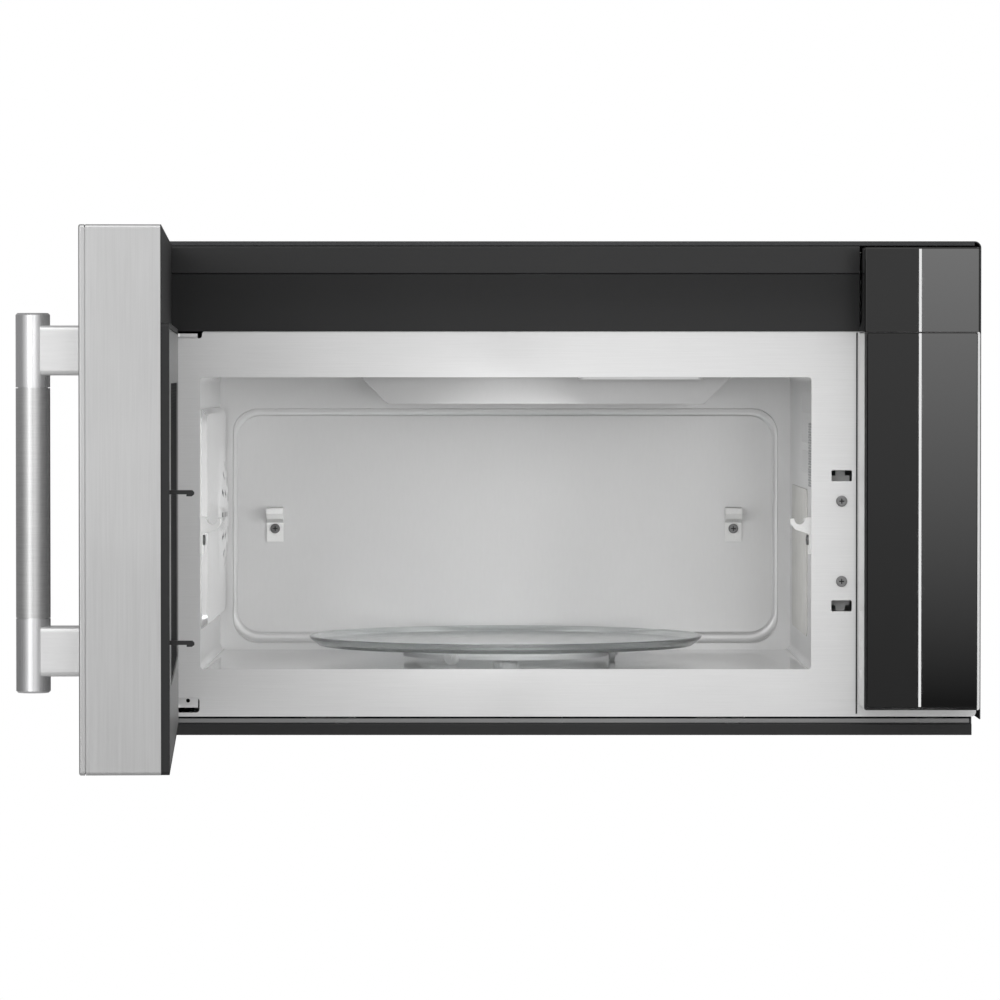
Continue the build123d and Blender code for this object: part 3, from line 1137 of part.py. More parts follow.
def make_roller_ring():
    """The ring under the tray, with an axle for each roller."""
    inner = RING_RADIUS - ROLLER_WIDTH / 2 - 0.8
    up = ROLLER_UP - RING_THICK / 2
    ring = extrude(Plane.XY.offset(up) * (Circle(inner) - Circle(inner - RING_BAND)), RING_THICK)
    ring = chamfer(ring.edges().group_by(Axis.Z)[-1], 1)
    for number in range(ROLLER_COUNT):
        turn = Rot(0, 0, 360 * number / ROLLER_COUNT)
        axle = Plane.YZ.offset(inner - 2) * Circle(AXLE_RADIUS)
        cap = Plane.YZ.offset(RING_RADIUS + ROLLER_WIDTH / 2 + 0.6) * Circle(AXLE_RADIUS + 1.2)
        pin = extrude(axle, ROLLER_WIDTH + 5.6) + extrude(cap, 1.6)
        ring += turn * (Pos(0, 0, ROLLER_UP) * pin)
    return Pos(CAVITY_X, -TRAY_OUT, 0) * ring


def make_roller(number):
    """One wheel of the ring, on its own axle, with a slightly crowned tread."""
    half = ROLLER_WIDTH / 2
    bore = AXLE_RADIUS + AXLE_CLEARANCE
    section = closed((-half, bore), (-half, ROLLER_RADIUS - 0.8), (-half + 0.8, ROLLER_RADIUS),
                      (half - 0.8, ROLLER_RADIUS), (half, ROLLER_RADIUS - 0.8), (half, bore))
    wheel = revolve(Plane.XZ * section, Axis.X)
    turn = Rot(0, 0, 360 * number / ROLLER_COUNT)
    return Pos(CAVITY_X, -TRAY_OUT, 0) * turn * (Pos(RING_RADIUS, 0, ROLLER_UP) * wheel)


# ---- convection fan ------------------------------------------------------------------
HOUSING_RADIUS = 76.0
HOUSING_DEPTH = 34.0
FAN_RADIUS = 58.0
FAN_WIDTH = 16.0
FAN_BLADES = 12
SHAFT_RADIUS = 3.0
WALL_X = CAVITY_LEFT - LINER_SHEET
POT_SHEET = 1.0
HEATER_TUBE = 2.8
HEATER_END = 3.4            # the sleeve on each end
HEATER_RADIUS = FAN_RADIUS + 7.5
HEATER_START = 20.0         # degrees from the front of the fan to the heater's first end
HEATER_DEPTH = 14.0         # the turn's distance outside the wall


def make_fan_housing():
    """The drawn pot on the outside of the left wall, round the fan and its heater."""
    rim = closed((HOUSING_RADIUS - 1, 0), (HOUSING_RADIUS + 8, 0), (HOUSING_RADIUS + 8, 1),
                  (HOUSING_RADIUS, 1), (HOUSING_RADIUS - 5, HOUSING_DEPTH),
                  (SHAFT_RADIUS + 1.5, HOUSING_DEPTH), (SHAFT_RADIUS + 1.5, HOUSING_DEPTH - 1),
                  (HOUSING_RADIUS - 6, HOUSING_DEPTH - 1))
    pot = revolve(Plane.XZ * rim, Axis.Z)
    for place in heater_ends():
        pot -= place * extrude(Circle(HEATER_END + 0.3), HOUSING_DEPTH + 1)
    return Pos(WALL_X, -INLET_OUT, INLET_UP) * Rot(0, -90, 0) * pot


def heater_ends():
    """Where the two ends of the heater's turn lie round the fan's axis."""
    for angle in (HEATER_START, -HEATER_START):
        yield Rot(0, 0, angle) * Pos(HEATER_RADIUS, 0)


def make_heater():
    """The tubular heating element: one open turn round the fan and two ends led outside."""
    turn = Plane.XY * CenterArc((0, 0), HEATER_RADIUS, HEATER_START, 360 - 2 * HEATER_START)
    tube = sweep(Plane(origin=turn @ 0, z_dir=turn % 0) * Circle(HEATER_TUBE), path=turn)
    back = HOUSING_DEPTH - POT_SHEET - HEATER_DEPTH
    for place in heater_ends():
        tube += place * extrude(Plane.XY.offset(-HEATER_END) * Circle(HEATER_END), back + 10)
        tube += place * extrude(Plane.XY.offset(back - 2) * Circle(HEATER_END + 1), 2)
    return Pos(WALL_X - HEATER_DEPTH, -INLET_OUT, INLET_UP) * Rot(0, -90, 0) * tube


def make_convection_fan():
    """The stirring fan: a disc with blades that stand up from it, on its shaft."""
    disc = extrude(Circle(FAN_RADIUS) - Circle(SHAFT_RADIUS - 0.5), 1)
    for blade in range(FAN_BLADES):
        turn = Rot(0, 0, 360 * blade / FAN_BLADES)
        vane = Pos(FAN_RADIUS - 17, 0, FAN_WIDTH / 2) * Rot(0, 0, 12) * Box(30, 1.2, FAN_WIDTH)
        disc += turn * vane
    disc += extrude(Circle(8), 10)
    disc += extrude(Plane.XY.offset(-14) * Circle(SHAFT_RADIUS), 15)
    return Pos(WALL_X - 24, -INLET_OUT, INLET_UP) * Rot(0, 90, 0) * disc


def make_convection_motor():
    back = WALL_X - HOUSING_DEPTH
    left = LEFT + COVER_SHEET + 2
    can = cross_rod(INLET_OUT, INLET_UP, left, 30, back - left - 3)
    can += side(INLET_OUT - 40, INLET_OUT + 40, INLET_UP - 12, INLET_UP + 12, back - 3, 3, 4)
    bore = cross_rod(INLET_OUT, INLET_UP, back - 12, SHAFT_RADIUS + 0.06, 14)
    return can - bore


# ---- blower --------------------------------------------------------------------------
WHEEL_RADIUS = 42.0
WHEEL_LENGTH = 70.0
WHEEL_BLADES = 20
SCROLL_RADIUS = 50.0
SCROLL_WALL = 1.2
BLOWER_OUT = 90.0
BLOWER_UP = CAVITY_TOP + 2 * LINER_SHEET + SCROLL_RADIUS + 6
BLOWER_GAP = 66.0
BLOWER_SHAFT = 4.0
OUTLET_TOP = HEIGHT - COVER_SHEET
OUTLET_FLANGE = 8.0


def wheel_starts():
    return (-BLOWER_GAP / 2 - WHEEL_LENGTH - 4, BLOWER_GAP / 2 + 4)


def make_blower_housing():
    """Two scroll housings side by side, each open on top under the duct."""
    scrolls = []
    for x in wheel_starts():
        x0 = x - 4
        length = WHEEL_LENGTH + 8
        half = DUCT_DEPTH / 2 - 2
        drum = cross_rod(BLOWER_OUT, BLOWER_UP, x0, SCROLL_RADIUS, length)
        drum += level(x0, x0 + length, BLOWER_OUT - half, BLOWER_OUT + half, BLOWER_UP,
                      OUTLET_TOP - BLOWER_UP)
        wall = SCROLL_WALL
        drum += level(x0, x0 + length, BLOWER_OUT - half - OUTLET_FLANGE,
                      BLOWER_OUT + half + OUTLET_FLANGE, OUTLET_TOP - wall, wall)
        room = cross_rod(BLOWER_OUT, BLOWER_UP, x0 + wall, SCROLL_RADIUS - wall,
                         length - 2 * wall)
        room += level(x0 + wall, x0 + length - wall, BLOWER_OUT - half + wall,
                      BLOWER_OUT + half - wall, BLOWER_UP, OUTLET_TOP - BLOWER_UP)
        eye = cross_rod(BLOWER_OUT, BLOWER_UP, x0, WHEEL_RADIUS - 6, length)
        scrolls.append(drum - room - eye)
    return group(*scrolls)


def make_blower_wheels():
    """Both wheels on one shaft: a middle disc, two rings and a cage of curved blades."""
    shaft_start = wheel_starts()[0]
    shaft_end = wheel_starts()[1] + WHEEL_LENGTH
    wheels = cross_rod(0, 0, shaft_start, BLOWER_SHAFT, shaft_end - shaft_start)
    blade = Pos(WHEEL_RADIUS - 5, 0) * Rot(0, 0, 35) * Rectangle(9, 1.0)
    for x in wheel_starts():
        plane = Plane.YZ.offset(x)
        wheels += extrude(plane * (Circle(WHEEL_RADIUS) - Circle(WHEEL_RADIUS - 9)), 1.5)
        far = Plane.YZ.offset(x + WHEEL_LENGTH - 1.5)
        wheels += extrude(far * (Circle(WHEEL_RADIUS) - Circle(WHEEL_RADIUS - 9)), 1.5)
        wheels += extrude(Plane.YZ.offset(x + WHEEL_LENGTH / 2) * Circle(WHEEL_RADIUS - 2), 1.5)
        for number in range(WHEEL_BLADES):
            turn = Rot(0, 0, 360 * number / WHEEL_BLADES)
            wheels += extrude(plane * (turn * blade), WHEEL_LENGTH)
    return Pos(0, -BLOWER_OUT, BLOWER_UP) * wheels


def make_blower_motor():
    half = BLOWER_GAP / 2 - 8
    can = cross_rod(BLOWER_OUT, BLOWER_UP, -half, 34, 2 * half)
    can = fillet(can.edges().filter_by(GeomType.CIRCLE), 5)
    foot = level(-half + 4, half - 4, BLOWER_OUT - 30, BLOWER_OUT + 30,
                 CAVITY_TOP + 2 * LINER_SHEET + SEAT, 3)
    foot += level(-half + 12, half - 12, BLOWER_OUT - 8, BLOWER_OUT + 8,
                  CAVITY_TOP + 2 * LINER_SHEET + SEAT, BLOWER_UP - CAVITY_TOP - 33)
    bore = cross_rod(BLOWER_OUT, BLOWER_UP, -half - 1, BLOWER_SHAFT + 0.08, 2 * half + 2)
    return can + foot - bore


# ---- microwave feed and electrics ----------------------------------------------------
GUIDE_WIDTH = 38.0
GUIDE_OUT = (108.0, 300.0)
GUIDE_UP = (96.0, 204.0)
TUBE_OUT = 268.0
TUBE_UP = 150.0
SIDE_X = CAVITY_RIGHT + LINER_SHEET


def make_waveguide():
    """The duct welded to the right wall, which leads the microwaves to their inlet."""
    x1 = SIDE_X + GUIDE_WIDTH
    duct = side(*GUIDE_OUT, *GUIDE_UP, SIDE_X, GUIDE_WIDTH, 3)
    sheet = LINER_SHEET
    duct -= side(GUIDE_OUT[0] + sheet, GUIDE_OUT[1] - sheet, GUIDE_UP[0] + sheet,
                 GUIDE_UP[1] - sheet, SIDE_X, GUIDE_WIDTH - sheet, 2)
    return duct - cross_rod(TUBE_OUT, TUBE_UP, x1 - sheet, 14, sheet)


def make_magnetron():
    """The magnetron: its box of cooling fins, filter box and antenna cap."""
    x0 = SIDE_X + GUIDE_WIDTH
    body = side(TUBE_OUT - 42, TUBE_OUT + 42, TUBE_UP - 48, TUBE_UP + 48, x0, 3, 2)
    body += cross_rod(TUBE_OUT, TUBE_UP, x0 + 2, 19, 52)
    for fin in range(6):
        body += side(TUBE_OUT - 34, TUBE_OUT + 34, TUBE_UP - 30, TUBE_UP + 30, x0 + 9 + fin * 6, 1)
    for out in (TUBE_OUT - 38, TUBE_OUT + 36):
        body += side(out, out + 2, TUBE_UP - 40, TUBE_UP + 40, x0 + 1, 50)
    body += side(TUBE_OUT - 38, TUBE_OUT + 38, TUBE_UP - 40, TUBE_UP + 40, x0 + 49, 2)
    body += side(TUBE_OUT - 26, TUBE_OUT + 26, TUBE_UP - 26, TUBE_UP + 26, x0 + 50, 26, 3)
    return body + cross_rod(TUBE_OUT, TUBE_UP, x0 - 26, 9, 27)


def make_transformer():
    """The high-voltage transformer: a stack of laminations round two windings."""
    x0 = SIDE_X + 20
    up = PAN_SHEET
    core = level(x0, x0 + 96, 60, 136, up + 4, 78)
    core -= level(x0 + 16, x0 + 80, 60, 136, up + 18, 16)
    core -= level(x0 + 16, x0 + 80, 60, 136, up + 50, 16)
    coil = level(x0 + 17, x0 + 79, 46, 150, up + 19, 46, 14)
    coil -= level(x0 + 15.5, x0 + 80.5, 59.5, 136.5, up + 33.5, 17)
    coil -= level(x0 + 15.5, x0 + 16.5, 46, 150, up + 4, 78)
    feet = level(x0 - 8, x0 + 104, 66, 130, up, 4, 3)
    body = core + feet + coil
    for x in (x0 - 4, x0 + 100):
        for out in (74, 122):
            body -= upright_rod(x, out, up, 2.4, 4)
    return body


CAPACITOR_OUT = 235.0


def make_capacitor():
    """The oval can of the high-voltage capacitor, strapped down beside the transformer."""
    x = PAN_X1 - 24
    outline = Rot(0, 0, 90) * SlotOverall(64, 34)
    can = extrude(Plane.XY.offset(PAN_SHEET + 6) * (Pos(x, -CAPACITOR_OUT) * outline), 78)
    can = fillet(can.edges().group_by(Axis.Z)[-1], 2)
    strap = level(x - 10, x + 10, CAPACITOR_OUT - 38, CAPACITOR_OUT + 38, PAN_SHEET, 6, 3)
    for out in (CAPACITOR_OUT - 12, CAPACITOR_OUT + 12):
        can += upright_rod(x, out, PAN_SHEET + 83, 3, 9)
    return can + strap


def make_oven_lamp():
    """The oven lamp in its socket above the perforated cover."""
    x0, x1, out0, out1 = LAMP_VENT
    middle = (out0 + out1) / 2
    base = CAVITY_TOP + LINER_SHEET
    bracket = side(middle - 13, middle + 13, base, base + 30, x0 + 8, 6, 2)
    return Pos(x0 + 13, -middle, base + 15) * Rot(0, 90, 0) * small_bulb(44) + bracket


# ---- every piece, by name ------------------------------------------------------------
cabinet_pieces = {
    "wall_plate": make_wall_plate(),
    "back_panel": make_back_panel(),
    "cabinet_cover": make_cabinet_cover() + make_nut_plates(),
    "cord_gland": make_cord_gland(),
    "base_pan": make_base_pan(),
    "cooktop_lamp_lenses": make_lamp_lenses(),
    "cooktop_lamps": make_cooktop_lamps(),
    "face_frame": make_face_frame(),
    "pan_screws": group(make_frame_screws(), make_rack_screws()),
    "cavity_liner": make_cavity_liner() + make_waveguide(),
    "ceiling_hump": make_ceiling_hump(),
    "oven_lamp_cover": make_lamp_cover(),
    "oven_lamp": make_oven_lamp(),
    "fan_cover": make_fan_cover(),
    "fan_housing": make_fan_housing(),
    "fan_heater": make_heater(),
    "convection_motor": make_convection_motor(),
    "waveguide_cover": make_waveguide_cover(),
    "magnetron": make_magnetron(),
    "transformer": make_transformer(),
    "capacitor": make_capacitor(),
    "rack_supports": make_rack_supports(),
    "latch_board": make_latch_board(),
    "interlock_switches": make_interlock_switches(),
    "top_strip": make_top_strip(),
    "vent_band": make_vent_band(),
    "bottom_strip": make_bottom_strip(),
    "bottom_lip": make_bottom_lip(),
    "column_housing": make_column_housing(),
    "column_fairing": make_column_fairing(),
    "column_bezel": make_column_bezel(),
    "control_glass": make_control_glass(),
    "control_board": make_control_board(),
    "hinge_brackets": make_hinge_brackets(),
    "blower_housing": make_blower_housing(),
    "blower_motor": make_blower_motor(),
    "turntable_motor": make_turntable_motor(),
}
running_pieces = {
    "grease_filter_left": make_filter(FILTER_X[0]),
    "grease_filter_right": make_filter(FILTER_X[1]),
    "convection_fan": make_convection_fan(),
    "blower_wheels": make_blower_wheels(),
    "glass_tray": make_glass_tray(),
    "drive_coupler": make_drive_coupler(),
    "roller_ring": make_roller_ring(),
}
for roller_number in range(ROLLER_COUNT):
    running_pieces[f"roller_{roller_number + 1}"] = make_roller(roller_number)
door_pieces = {
    "door_frame": make_door_frame(),
    "door_face": make_door_face() - screw_ways(),
    "door_window": make_door_window(),
    "door_trim": make_door_trim(),
    "inner_panel": make_inner_panel(),
    "inner_window": make_inner_window(),
    "hinge_blocks": make_hinge_blocks(),
    "latch_hooks": make_latch_hooks(),
    "latch_guides": group(make_latch_guides(), make_spring_seat()),
    "handle_bar": make_handle_bar(),
    "handle_grip": make_handle_grip(),
    "handle_posts": make_handle_posts(),
    "handle_screws": make_handle_screws(),
}

lower = Pos(0, 0, -HEIGHT / 2)
hinge_line = Pos(HINGE_X, -HINGE_OUT, 0)
swing = hinge_line * Rot(0, 0, -DOOR_OPEN) * hinge_line.inverse()

os.makedirs("parts", exist_ok=True)
for name, piece in {**cabinet_pieces, **running_pieces}.items():
    export_step(lower * piece, f"parts/{name}.step")
for name, piece in door_pieces.items():
    export_step(lower * swing * piece, f"parts/{name}.step")
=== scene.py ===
# %% [markdown]
# # An over the range microwave with its door open
# The CAD model already has every real piece in its real place. This notebook gives the
# pieces their finishes, adds the small things that are too fine for the CAD model, and
# lights them as a product photographer would, on a white ground.

# %% Start from the CAD frame
import math

import bpy
from mathutils import Matrix, Vector


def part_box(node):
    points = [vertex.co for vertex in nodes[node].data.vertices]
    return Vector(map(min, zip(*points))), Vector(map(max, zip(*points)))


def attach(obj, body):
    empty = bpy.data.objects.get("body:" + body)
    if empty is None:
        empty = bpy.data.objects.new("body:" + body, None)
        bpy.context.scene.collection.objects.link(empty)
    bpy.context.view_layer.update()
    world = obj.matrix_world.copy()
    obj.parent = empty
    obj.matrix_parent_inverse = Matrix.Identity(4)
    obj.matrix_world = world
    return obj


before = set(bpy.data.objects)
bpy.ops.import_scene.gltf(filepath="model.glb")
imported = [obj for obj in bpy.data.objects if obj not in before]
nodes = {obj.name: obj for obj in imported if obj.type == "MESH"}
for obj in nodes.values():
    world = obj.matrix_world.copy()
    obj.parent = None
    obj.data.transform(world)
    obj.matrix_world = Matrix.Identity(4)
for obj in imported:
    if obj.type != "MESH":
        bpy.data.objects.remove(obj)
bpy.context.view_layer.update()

# %% [markdown]
# Colours are easiest to choose as the hex codes of a picture editor. Shaders calculate
# with linear light, so one small function converts them.

# %% A hex colour as linear light
def linear(code):
    channels = [int(code[i:i + 2], 16) / 255 for i in (1, 3, 5)]
    return [c / 12.92 if c <= 0.04045 else ((c + 0.055) / 1.055) ** 2.4 for c in channels] + [1.0]


print("mid grey", [round(c, 3) for c in linear("#808080")])

# %% [markdown]
# Shader trees and geometry trees are both made of nodes. This helper adds a node, sets its
# options, and fills each input with either a value or a link from another node.

# %% Add one node to a tree
def add(tree, kind, inputs=None, **options):
    node = tree.nodes.new(kind)
    for name, value in options.items():
        setattr(node, name, value)
    for key, value in (inputs or {}).items():
        if isinstance(value, bpy.types.NodeSocket):
            tree.links.new(value, node.inputs[key])
        else:
            node.inputs[key].default_value = value
    return node


# %% [markdown]
# Real surfaces are never one flat colour. Each finish here mixes two close colours with a
# broad cloudy noise and a fine grain, and lets the same grain change the roughness and
# the bump. A grain that is stretched along one direction reads as brushing or rolling.

# %% One procedural finish
def finish(name, light, dark, rough, metallic=0.0, grain=400.0, stretch=(1, 1, 1), clouds=6.0,
           bump=0.1, depth=0.0002, share=0.5, **extra):
    material = bpy.data.materials.new(name)
    material.use_nodes = True
    tree = material.node_tree
    shader = tree.nodes["Principled BSDF"]
    place = add(tree, "ShaderNodeTexCoord").outputs["Object"]
    along = add(tree, "ShaderNodeMapping", {"Vector": place, "Scale": stretch})
    fine = add(tree, "ShaderNodeTexNoise", {"Vector": along.outputs[0], "Scale": grain,
                                            "Detail": 4.0, "Roughness": 0.6})
    broad = add(tree, "ShaderNodeTexNoise", {"Vector": place, "Scale": clouds, "Detail": 3.0})
    mixed = add(tree, "ShaderNodeMix", {0: share, 2: fine.outputs[0], 3: broad.outputs[0]})
    spread = add(tree, "ShaderNodeMapRange", {0: mixed.outputs[0], 1: 0.35, 2: 0.65})
    colour = add(tree, "ShaderNodeMix", {0: spread.outputs[0], 6: linear(dark), 7: linear(light)},
                 data_type="RGBA")
    gloss = add(tree, "ShaderNodeMapRange", {0: fine.outputs[0], 1: 0.3, 2: 0.7, 3: rough[0],
                                             4: rough[1]})
    relief = add(tree, "ShaderNodeBump", {"Strength": bump, "Distance": depth,
                                          "Height": fine.outputs[0]})
    tree.links.new(colour.outputs[2], shader.inputs["Base Color"])
    tree.links.new(gloss.outputs[0], shader.inputs["Roughness"])
    tree.links.new(relief.outputs[0], shader.inputs["Normal"])
    shader.inputs["Metallic"].default_value = metallic
    for key, value in extra.items():
        shader.inputs[key.replace("_", " ")].default_value = value
    return material


# %% [markdown]
# The face of the oven is stainless steel. The door and the handle are brushed upright, the
# frame round the opening is a paler satin, and the oven's lining is plain rolled sheet.
# The shade, the direction of the grain and its strength tell them apart.

# %% The steels
ACROSS = (0.02, 1, 1)
UPRIGHT = (1, 1, 0.02)
satin = finish("Satin stainless steel", "#e6e6e6", "#dedede", (0.42, 0.5), 0.3, 900, ACROSS,
               bump=0.03)
brushed = finish("Brushed stainless steel", "#cdcdcd", "#c3c3c3", (0.3, 0.38), 0.9, 700, UPRIGHT,
                 bump=0.02)
bar_steel = finish("Brushed handle steel", "#ececed", "#dededf", (0.26, 0.34), 1.0, 900, UPRIGHT,
                   bump=0.03, Anisotropic=0.3)
grip_steel = finish("Turned grip steel", "#e0e0e0", "#cccccc", (0.3, 0.38), 1.0, 1500,
                    (0.05, 0.05, 1), bump=0.08)
lining = finish("Rolled stainless lining", "#dddddd", "#d6d6d6", (0.3, 0.34), 0.5, 500,
                (1, 1, 0.2), clouds=5.0, bump=0.0, share=0.8)
# The hump is the same rolled lining as the walls in a darker copy: painted shade on the ceiling
# hump.
hump_with_painted_shade = finish("Rolled lining with painted shade on the hump", "#b4b4b4", "#acacac", (0.3, 0.34), 0.5, 500,
                    (1, 1, 0.2), clouds=5.0, bump=0.0, share=0.8)
bright = finish("Bright annealed steel", "#fafafa", "#f2f2f2", (0.16, 0.22), 0.7, 300,
                (1, 1, 0.2), bump=0.02, share=0.8)
post_steel = finish("Fine satin steel", "#f0f0f0", "#e8e8e8", (0.3, 0.38), 0.6, 700, ACROSS,
                    bump=0.0)
nickel = finish("Nickel plated steel", "#ebebea", "#dcdcdb", (0.2, 0.32), 0.8, 300, bump=0.03)
# The pan screws are given a darker steel: painted shade round their heads.
screw_steel_with_painted_shade = finish("Screw steel with painted shade", "#8c8c8c", "#747474", (0.25, 0.4), 0.9, 300,
                     bump=0.05)
zinc = finish("Zinc coated steel", "#a9abac", "#8d9092", (0.32, 0.55), 0.9, 60, clouds=20.0,
              bump=0.05, share=0.3)
aluminium = finish("Mill finish aluminium", "#bfc0c1", "#a8a9aa", (0.3, 0.45), 1.0, 400,
                   bump=0.08)
# The bottom strip gets a darker rolled steel: painted shade along the strip under the frame.
edge_with_painted_shade = finish("Rolled edge steel with painted shade", "#8f8f8f", "#828282", (0.3, 0.4), 0.6, 400, ACROSS,
                   bump=0.02)
print("the steels and aluminium")

# %% [markdown]
# The floor of the oven is shinier than its walls, so it mirrors the glass tray. The liner
# is one piece, so its finish tells the floor by the upward normal.

# %% A shinier floor
FLOOR_ROUGH = 0.14
WALL_METAL, FLOOR_METAL = 0.5, 0.9
tree = lining.node_tree
shader = tree.nodes["Principled BSDF"]
normal = add(tree, "ShaderNodeNewGeometry").outputs["Normal"]
upward = add(tree, "ShaderNodeSeparateXYZ", {0: normal}).outputs[2]
floor_part = add(tree, "ShaderNodeMapRange", {0: upward, 1: 0.8, 2: 0.98}).outputs[0]
rough = shader.inputs["Roughness"].links[0].from_socket
mixed = add(tree, "ShaderNodeMix", {0: floor_part, 2: rough, 3: FLOOR_ROUGH})
metal = add(tree, "ShaderNodeMapRange", {0: floor_part, 3: WALL_METAL, 4: FLOOR_METAL})
tree.links.new(mixed.outputs[0], shader.inputs["Roughness"])
tree.links.new(metal.outputs[0], shader.inputs["Metallic"])
print("floor roughness", FLOOR_ROUGH)

# %% [markdown]
# The top strip and the air band are satin black mouldings, which mirror the room softly.
# The bezel round the control glass is glossier. The hidden mouldings and the latch are
# matt, with a fine grain.

# %% The mouldings, paint and sheet materials
satin_black = finish("Satin black moulding", "#161617", "#121213", (0.3, 0.36), 0.0, 500,
                     bump=0.0)
bezel_black = finish("Gloss black bezel", "#0e0e0f", "#0a0a0b", (0.05, 0.1), 0.0, 300, bump=0.0)
matt_black = finish("Grained black moulding", "#1d1d1e", "#121213", (0.42, 0.6), 0.0, 900,
                    bump=0.3)
latch_black = finish("Moulded latch nylon", "#161617", "#0d0d0e", (0.35, 0.5), 0.0, 700, bump=0.15)
enamel = finish("Grey oven enamel", "#858585", "#797979", (0.28, 0.4), 0.2, 300, clouds=14.0,
                bump=0.1)
paint = finish("Dark grey baked paint", "#3a3b3d", "#2f3032", (0.38, 0.52), 0.0, 500, bump=0.25)
pale = finish("Pale moulded plastic", "#f1f1f0", "#e8e8e7", (0.35, 0.5), 0.0, 500, bump=0.1)
grey_plastic = finish("Grey heat-proof plastic", "#c0c0c0", "#b8b8b8", (0.4, 0.5), 0.0, 200,
                      bump=0.02)
mica = finish("Mica sheet", "#cfceca", "#c2c1bd", (0.3, 0.5), 0.0, 120, clouds=40.0, bump=0.2)
core = finish("Laminated transformer steel", "#55504a", "#3c3834", (0.45, 0.6), 0.8, 1200,
              (0.02, 0.02, 1), bump=0.4)
board = finish("Green circuit board", "#2f6b46", "#23573a", (0.35, 0.5), 0.0, 200, bump=0.2)
print("mouldings, paint, mica, core and board")

# %% [markdown]
# Glass is a transmitting surface where light should pass, as in the turntable and the
# lamps. The control panel is glass with a black print on its back, and the cover over it
# matches, so to the eye both are black and very smooth.

# %% The glasses
clear = finish("Clear tempered glass", "#f4f8f7", "#f6f8f8", (0.1, 0.16), 0.0, 80, bump=0.0,
               Transmission_Weight=0.93, IOR=1.2)
panel_glass = finish("Back printed black glass", "#090909", "#060606", (0.0, 0.01), 0.0, 30,
                     bump=0.0)
print(clear.name, panel_glass.name)

# %% [markdown]
# Behind the door's dark glass lies a steel screen with thousands of small round holes. A
# mesh of them would be heavy, and they are only seen through the glass, so the glass
# gets them as a pattern: a point is in a hole when it is near the middle of its cell. The
# screen on the oven's side of the door is the same, under a matt film.

# %% Dark glass with a perforated screen behind it
def screened_glass(name, rough, specular, pitch=0.0026, hole=0.34):
    material = finish(name, "#1a1a1b", "#121213", rough, 0.0, 60, bump=0.01,
                      Specular_IOR_Level=specular)
    tree = material.node_tree
    place = add(tree, "ShaderNodeTexCoord").outputs["Object"]
    cell = add(tree, "ShaderNodeVectorMath", {0: place, 1: (pitch, pitch, pitch)},
               operation="DIVIDE")
    part = add(tree, "ShaderNodeVectorMath", {0: cell.outputs[0]}, operation="FRACTION")
    axes = add(tree, "ShaderNodeSeparateXYZ", {0: part.outputs[0]})
    flat = add(tree, "ShaderNodeCombineXYZ", {0: axes.outputs[1], 1: axes.outputs[2]})
    away = add(tree, "ShaderNodeVectorMath", {0: flat.outputs[0], 1: (0.5, 0.5, 0)},
               operation="DISTANCE")
    inside = add(tree, "ShaderNodeMapRange", {0: away.outputs[1], 1: hole, 2: hole + 0.08, 3: 0.0,
                                              4: 1.0})
    shader = tree.nodes["Principled BSDF"]
    before = shader.inputs["Base Color"].links[0].from_socket
    screen = add(tree, "ShaderNodeMix", {0: inside.outputs[0], 6: before, 7: linear("#2c2c2d")},
                 data_type="RGBA")
    tree.links.new(screen.outputs[2], shader.inputs["Base Color"])
    return material


window = screened_glass("Dark glass over perforated screen", (0.04, 0.08), 0.5)
inner_window = screened_glass("Matt black inner screen", (0.7, 0.7), 0.05)
print(window.name, "and", inner_window.name)

# %% [markdown]
# The door's box is brushed steel on its outside and black on the sheet that faces the
# oven. It is one folded piece, so its material changes colour past a plane instead. The
# Object coordinates are those of the CAD frame, so the plane stays put on the piece. The
# bezel of the control glass gets a painted highlight down its right edge, made the same
# way: a pale colour past a plane that stands in for a reflection.

# %% Steel outside, black towards the oven
DOOR_OPEN = math.radians(87.2)
DOOR_NORMAL = (math.sin(DOOR_OPEN), math.cos(DOOR_OPEN), 0)
DOOR_BACK = -0.3574     # the back sheet's distance from the origin along DOOR_NORMAL
BEZEL_EDGE = 0.3700     # the right edge of the control glass
BLEND = 0.0002          # half the width over which one finish turns into the other


def two_tone(name, base, other, past, rough=0.55, normal=DOOR_NORMAL):
    """A copy of base that turns into the other colour past a plane."""
    material = base.copy()
    material.name = name
    tree = material.node_tree
    shader = tree.nodes["Principled BSDF"]
    place = add(tree, "ShaderNodeTexCoord").outputs["Object"]
    along = add(tree, "ShaderNodeVectorMath", {0: place, 1: normal}, operation="DOT_PRODUCT")
    beyond = add(tree, "ShaderNodeMapRange", {0: along.outputs["Value"], 1: past - BLEND,
                                              2: past + BLEND})
    colour = shader.inputs["Base Color"].links[0].from_socket
    gloss = shader.inputs["Roughness"].links[0].from_socket
    metal = shader.inputs["Metallic"].default_value
    mixed = add(tree, "ShaderNodeMix", {0: beyond.outputs[0], 6: colour, 7: linear(other)},
                data_type="RGBA")
    dull = add(tree, "ShaderNodeMix", {0: beyond.outputs[0], 2: gloss, 3: rough})
    bare = add(tree, "ShaderNodeMapRange", {0: beyond.outputs[0], 3: metal, 4: 0.0})
    tree.links.new(mixed.outputs[2], shader.inputs["Base Color"])
    tree.links.new(dull.outputs[0], shader.inputs["Roughness"])
    tree.links.new(bare.outputs[0], shader.inputs["Metallic"])
    return material


door_steel = two_tone("Brushed steel with black back", brushed, "#0d0d0e", DOOR_BACK)
# The bezel turns pale past BEZEL_EDGE: a painted highlight on its right edge.
bezel_with_painted_highlight = two_tone("Gloss black bezel with painted highlight edge", bezel_black, "#ececec",
                        BEZEL_EDGE, 0.3, (1, 0, 0))
print(door_steel.name, "and", bezel_with_painted_highlight.name)

# %% [markdown]
# Each CAD piece takes the finish of its real counterpart. The lists read like a parts
# list, and a check at the end makes sure that no piece was forgotten.

